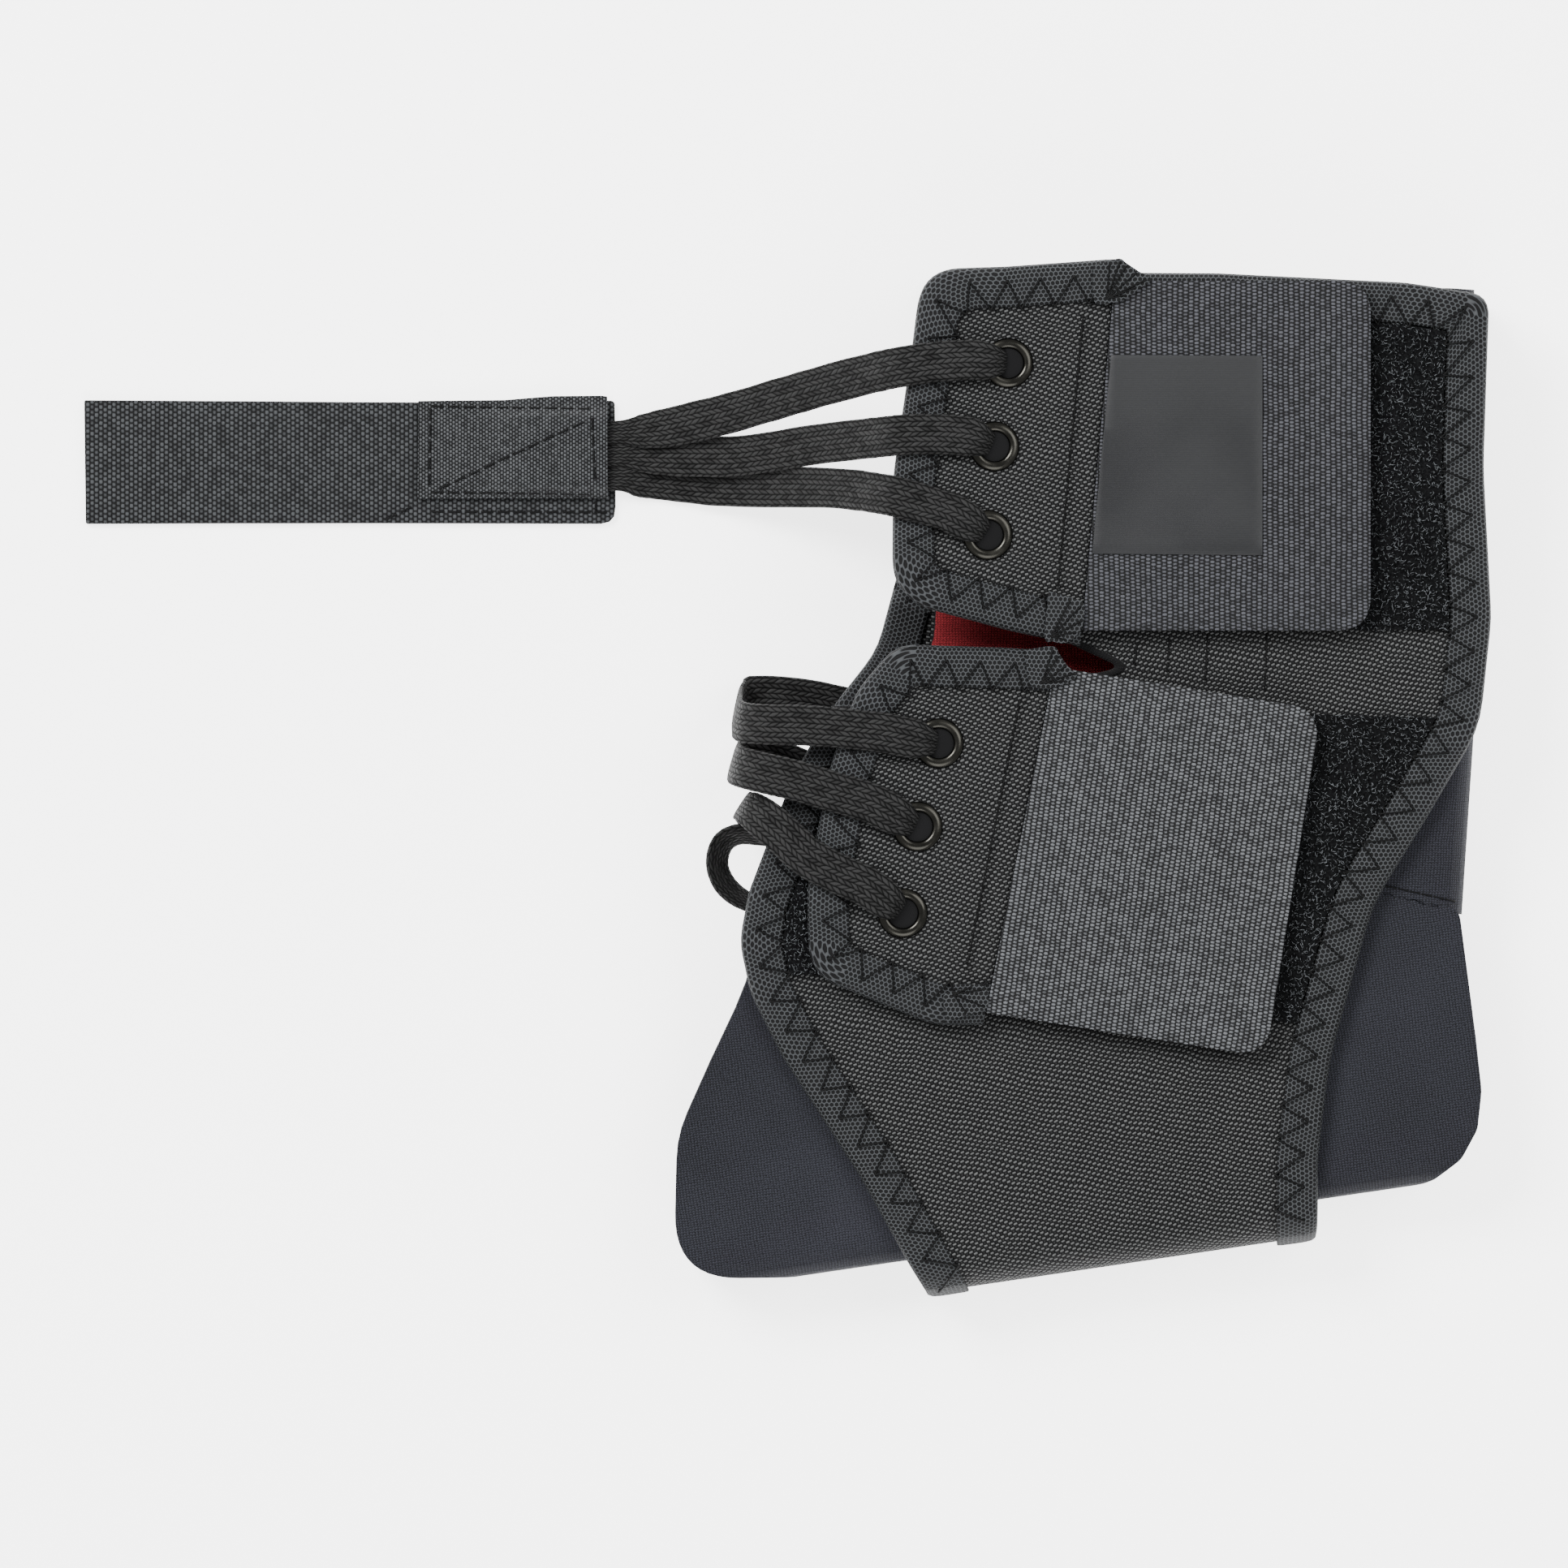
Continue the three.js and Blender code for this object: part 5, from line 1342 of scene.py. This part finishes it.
def growthNodes(loop):
    group = bpy.data.node_groups.new("pileGrowth", "GeometryNodeTree")
    group.interface.new_socket(name="Geometry", in_out="INPUT", socket_type="NodeSocketGeometry")
    group.interface.new_socket(name="Geometry", in_out="OUTPUT", socket_type="NodeSocketGeometry")
    growth = NodeTree(group)
    cloth = growth.add("NodeGroupInput")
    points = growth.add("GeometryNodeDistributePointsOnFaces", {"distribute_method": "RANDOM"}, {
        "Mesh": cloth, "Density": pile["density"] * 1e6, "Seed": pile["seed"]})
    upright = Signal(growth, points.socket.node.outputs["Rotation"])
    lean = growth.add("FunctionNodeRandomValue", {"data_type": "FLOAT_VECTOR"}, {
        0: (-0.95, -0.95, 0.0), 1: (0.95, 0.95, 6.28), "Seed": 3})
    turned = growth.add("FunctionNodeRotateRotation", {"rotation_space": "LOCAL"}, {
        0: upright, 1: growth.add("FunctionNodeEulerToRotation", (), {0: lean})})
    size = growth.add("FunctionNodeRandomValue", {"data_type": "FLOAT_VECTOR"}, {
        0: (0.6, 0.7, 0.5), 1: (1.4, 1.2, 1.3), "Seed": 11})
    shape = growth.add("GeometryNodeObjectInfo", (), {"Object": loop}, out=4)
    grown = growth.add("GeometryNodeInstanceOnPoints", (), {
        "Points": points, "Instance": shape, "Rotation": turned, "Scale": size})
    real = growth.add("GeometryNodeRealizeInstances", (), {0: grown})
    output = group.nodes.new("NodeGroupOutput")
    group.links.new(real.socket, output.inputs[0])
    return group


def addPile(name, side, outline, node, covers, group):
    bm = cutCloth([(p.x, p.y) for p in outline], pile["spacing"],
                  lambda x, y: shellFold.onto(side, x, y, pile["baseOut"]), side)
    base = addPiece(name, bm, [pileBase], "loop_pile", [node])
    thicken(base, pile["baseWall"], 0.2)
    bm = bmesh.new()
    bm.from_mesh(base.data)
    hidden = [face for face in bm.faces
              if any(contains(cover, face.calc_center_median().x / mm, face.calc_center_median().y / mm)
                     for cover in covers)]
    bmesh.ops.delete(bm, geom=hidden, context="FACES")
    mesh = bpy.data.meshes.new(name + "Bed")
    bm.to_mesh(mesh)
    bm.free()
    bed = bpy.data.objects.new(name + "Bed", mesh)
    bpy.context.scene.collection.objects.link(bed)
    bed.modifiers.new("growth", "NODES").node_group = group
    grown = bpy.data.meshes.new_from_object(bed.evaluated_get(bpy.context.evaluated_depsgraph_get()))
    bpy.data.objects.remove(bed)
    grown.name = name + "Loops"
    loops = bpy.data.objects.new(name + "Loops", grown)
    bpy.context.scene.collection.objects.link(loops)
    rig.ride(loops, "root")
    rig.slot(loops, "loop_pile")
    declareSheet(base, outline, "laid", [shellPiece], [loops])
    print(name, "has", len(grown.polygons), "loop faces")


loopShape = makeLoop()
growthGroup = growthNodes(loopShape)
insideTape, _ = edgePoints(shellRows, -8.7, (soleCut, soleCut))
highShare = upTo(0.644)
rightSide = [p for p in insideTape if p.x > acrossTo(0.58)]
upperPile = [p for p in rightSide if p.y > highShare]
upperPile += [Vector((upperPile[-1].x, highShare)), Vector((acrossTo(0.58), highShare))]
lowerPile = [p for p in rightSide if upTo(0.262) < p.y < upTo(0.56)]
lowerPile += [Vector((acrossTo(0.45), upTo(0.3))), Vector((acrossTo(0.49), upTo(0.568)))]
leftSide = [p for p in insideTape if p.x < acrossTo(0.4) and upTo(0.31) < p.y < upTo(0.56)]
frontPile = leftSide + [Vector((acrossTo(0.42), upTo(0.56))), Vector((acrossTo(0.4), upTo(0.31)))]
covers = []
for wingName in ("upper", "lower"):
    line = endLine(wingName, 3)
    covers.append(edgePoints(flapRows[wingName], -pile["clearOfTab"], (line, line))[0])
    box = tabOutline(wingName)
    middle = sum(box, Vector((0, 0))) / len(box)
    covers.append([middle + (p - middle) * 0.92 for p in box])
for half in ("near", "far"):
    addPile(half + "UpperPile", half, upperPile, half + "_upper_pile", covers, growthGroup)
    addPile(half + "LowerPile", half, lowerPile, half + "_lower_pile", covers, growthGroup)
addPile("nearFrontPile", "near", frontPile, "near_front_pile", covers, growthGroup)
bpy.data.objects.remove(loopShape)
print("stage: piles")

# bare satin label on the near upper hook tab
label = {"corners": ((66.5, 86.9), (62.6, 46.2), (97.5, 45.9), (97.5, 86.7)), "out": 4.98, "wall": 0.32,
         "spacing": 2.5}
bm = cutCloth(label["corners"], label["spacing"], lambda x, y: drape("near", x, y, label["out"]))
labelPiece = addPiece("labelPatch", bm, [satin], "label_satin", ["label_patch"])
thicken(labelPiece, label["wall"], 0.08)
declareSheet(labelPiece, label["corners"], "laid", ["nearUpperHookTab"])

# pull tab of hook webbing with its sewn patch over the lace ends
pull = {"left": -144.6, "right": -35.1, "low": 52.7, "high": 78.2, "corner": 3, "wall": 1.45, "top": 1.6,
        "spacing": 2.0, "patchLeft": -75.9, "patchRight": -36.8, "patchLow": 57.9, "patchHigh": 78.7,
        "patchWall": 1.1, "patchFlat": 2.85, "patchRise": 2.5}


def webbingTop(x, y, out):
    wave = 0.16 * noise.noise(Vector((x / 19, y / 16, 1.7)))
    return Vector((x, y, pull["top"] + wave + out))


def eased(value, low, high):
    t = min(1, max(0, (value - low) / (high - low)))
    return t * t * (3 - 2 * t)


def patchTop(x, y, out):
    over = eased(x, -67, -53) * eased(y, 58.2, 60.4) * (1 - eased(y, 74.4, 77.6))
    return webbingTop(x, y, pull["patchFlat"] - pull["top"] + pull["patchRise"] * over + out)


strip = [(pull["left"] + 0.3, pull["low"]), (pull["left"], pull["high"]), (-112, 78.0), (-88, 77.8),
         (-60, 77.7), (-50, 78.3), (-36, 78.1), (-35.3, 77.8), (-35.1, 70), (pull["right"], 56.2),
         (-35.4, 54.2), (-36.4, 53.1), (-38.2, 52.7), (-90, 52.8)]
bm = cutCloth(strip, pull["spacing"], lambda x, y: webbingTop(x, y, 0))
tabPiece = addPiece("pullTab", bm, [pullWebbing], "webbing", ["pull_tab"])
thicken(tabPiece, pull["wall"], 0.35)
declareSheet(tabPiece, strip, "laid")
patchShape = [(pull["patchLeft"], pull["patchLow"]), (pull["patchLeft"] + 0.2, 78.0), (-58, 78.2), (-48, 79.0),
              (-38, 79.1), (pull["patchRight"], 78.9), (pull["patchRight"] + 0.1, pull["patchLow"])]
bm = cutCloth(patchShape, 1.3, lambda x, y: patchTop(x, y, 0))
patchPiece = addPiece("pullTabPatch", bm, [patchWebbing], "webbing", ["pull_tab_patch"])
thicken(patchPiece, pull["patchWall"], 0.3)
declareSheet(patchPiece, patchShape, "laid", [tabPiece])
boxSeams = []
for line in (((-73.2, 76.9), (-38.2, 76.3)), ((-73.2, 76.6), (-73.5, 59.4)), ((-73.2, 59.2), (-39.2, 58.8)),
             ((-39.9, 74.6), (-39.2, 59.2)), ((-71.5, 59.9), (-40.4, 74.2))):
    boxSeams += runningSeam([Vector(point) for point in line], patchTop, 0.02, 2.2, 1.15, 0.12)
for line in (((-82.5, 53.5), (-74.5, 57.6)), ((-73, 55.2), (-36.5, 55.1)), ((-39.2, 57.5), (-39.2, 53.6))):
    boxSeams += runningSeam([Vector(point) for point in line], webbingTop, 0.02, 2.2, 1.15, 0.12)
addThreads("pullTabStitches", boxSeams, 0.2)
print("stage: label and pull tab")

# floor and light
floorSetup = {"size": 6.0, "colour": srgb(250, 250, 250), "glow": 3.0}
bm = bmesh.new()
bmesh.ops.create_grid(bm, x_segments=1, y_segments=1, size=floorSetup["size"] / 2)
floorMesh = bpy.data.meshes.new("floor")
bm.to_mesh(floorMesh)
bm.free()
floor = bpy.data.objects.new("floor", floorMesh)
bpy.context.scene.collection.objects.link(floor)
floorPaint = Paint("paleFloor")
floorMesh.materials.append(floorPaint.finish(floorSetup["colour"], 0.9, Emission_Color=srgb(255, 255, 255),
                                         Emission_Strength=floorSetup["glow"]))
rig.stage(floor)

lights = {"key": {"place": (-0.9, 0.9, 1.3), "size": 0.9, "power": 60},
          "fill": {"place": (1.1, 0.5, 1.4), "size": 1.2, "power": 24},
          "front": {"place": (0.2, -1.3, 1.2), "size": 1.2, "power": 20}}
for lightName, values in lights.items():
    lamp = bpy.data.lights.new(lightName, "AREA")
    lamp.shape = "DISK"
    lamp.size = values["size"]
    lamp.energy = values["power"]
    light = bpy.data.objects.new(lightName, lamp)
    light.location = values["place"]
    light.rotation_euler = Vector(values["place"]).to_track_quat("Z", "Y").to_euler()
    bpy.context.scene.collection.objects.link(light)
world = bpy.data.worlds.new("studio")
world.use_nodes = True
world.node_tree.nodes["Background"].inputs["Color"].default_value = (1, 1, 1, 1)
world.node_tree.nodes["Background"].inputs["Strength"].default_value = 0.7
bpy.context.scene.world = world
print("stage: floor and light")

sizes = {"cad": [list(corner) for corner in cadBox], "visual": [list(corner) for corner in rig.bounds()]}
with open("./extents.json", "w") as sizeFile:
    json.dump(sizes, sizeFile)
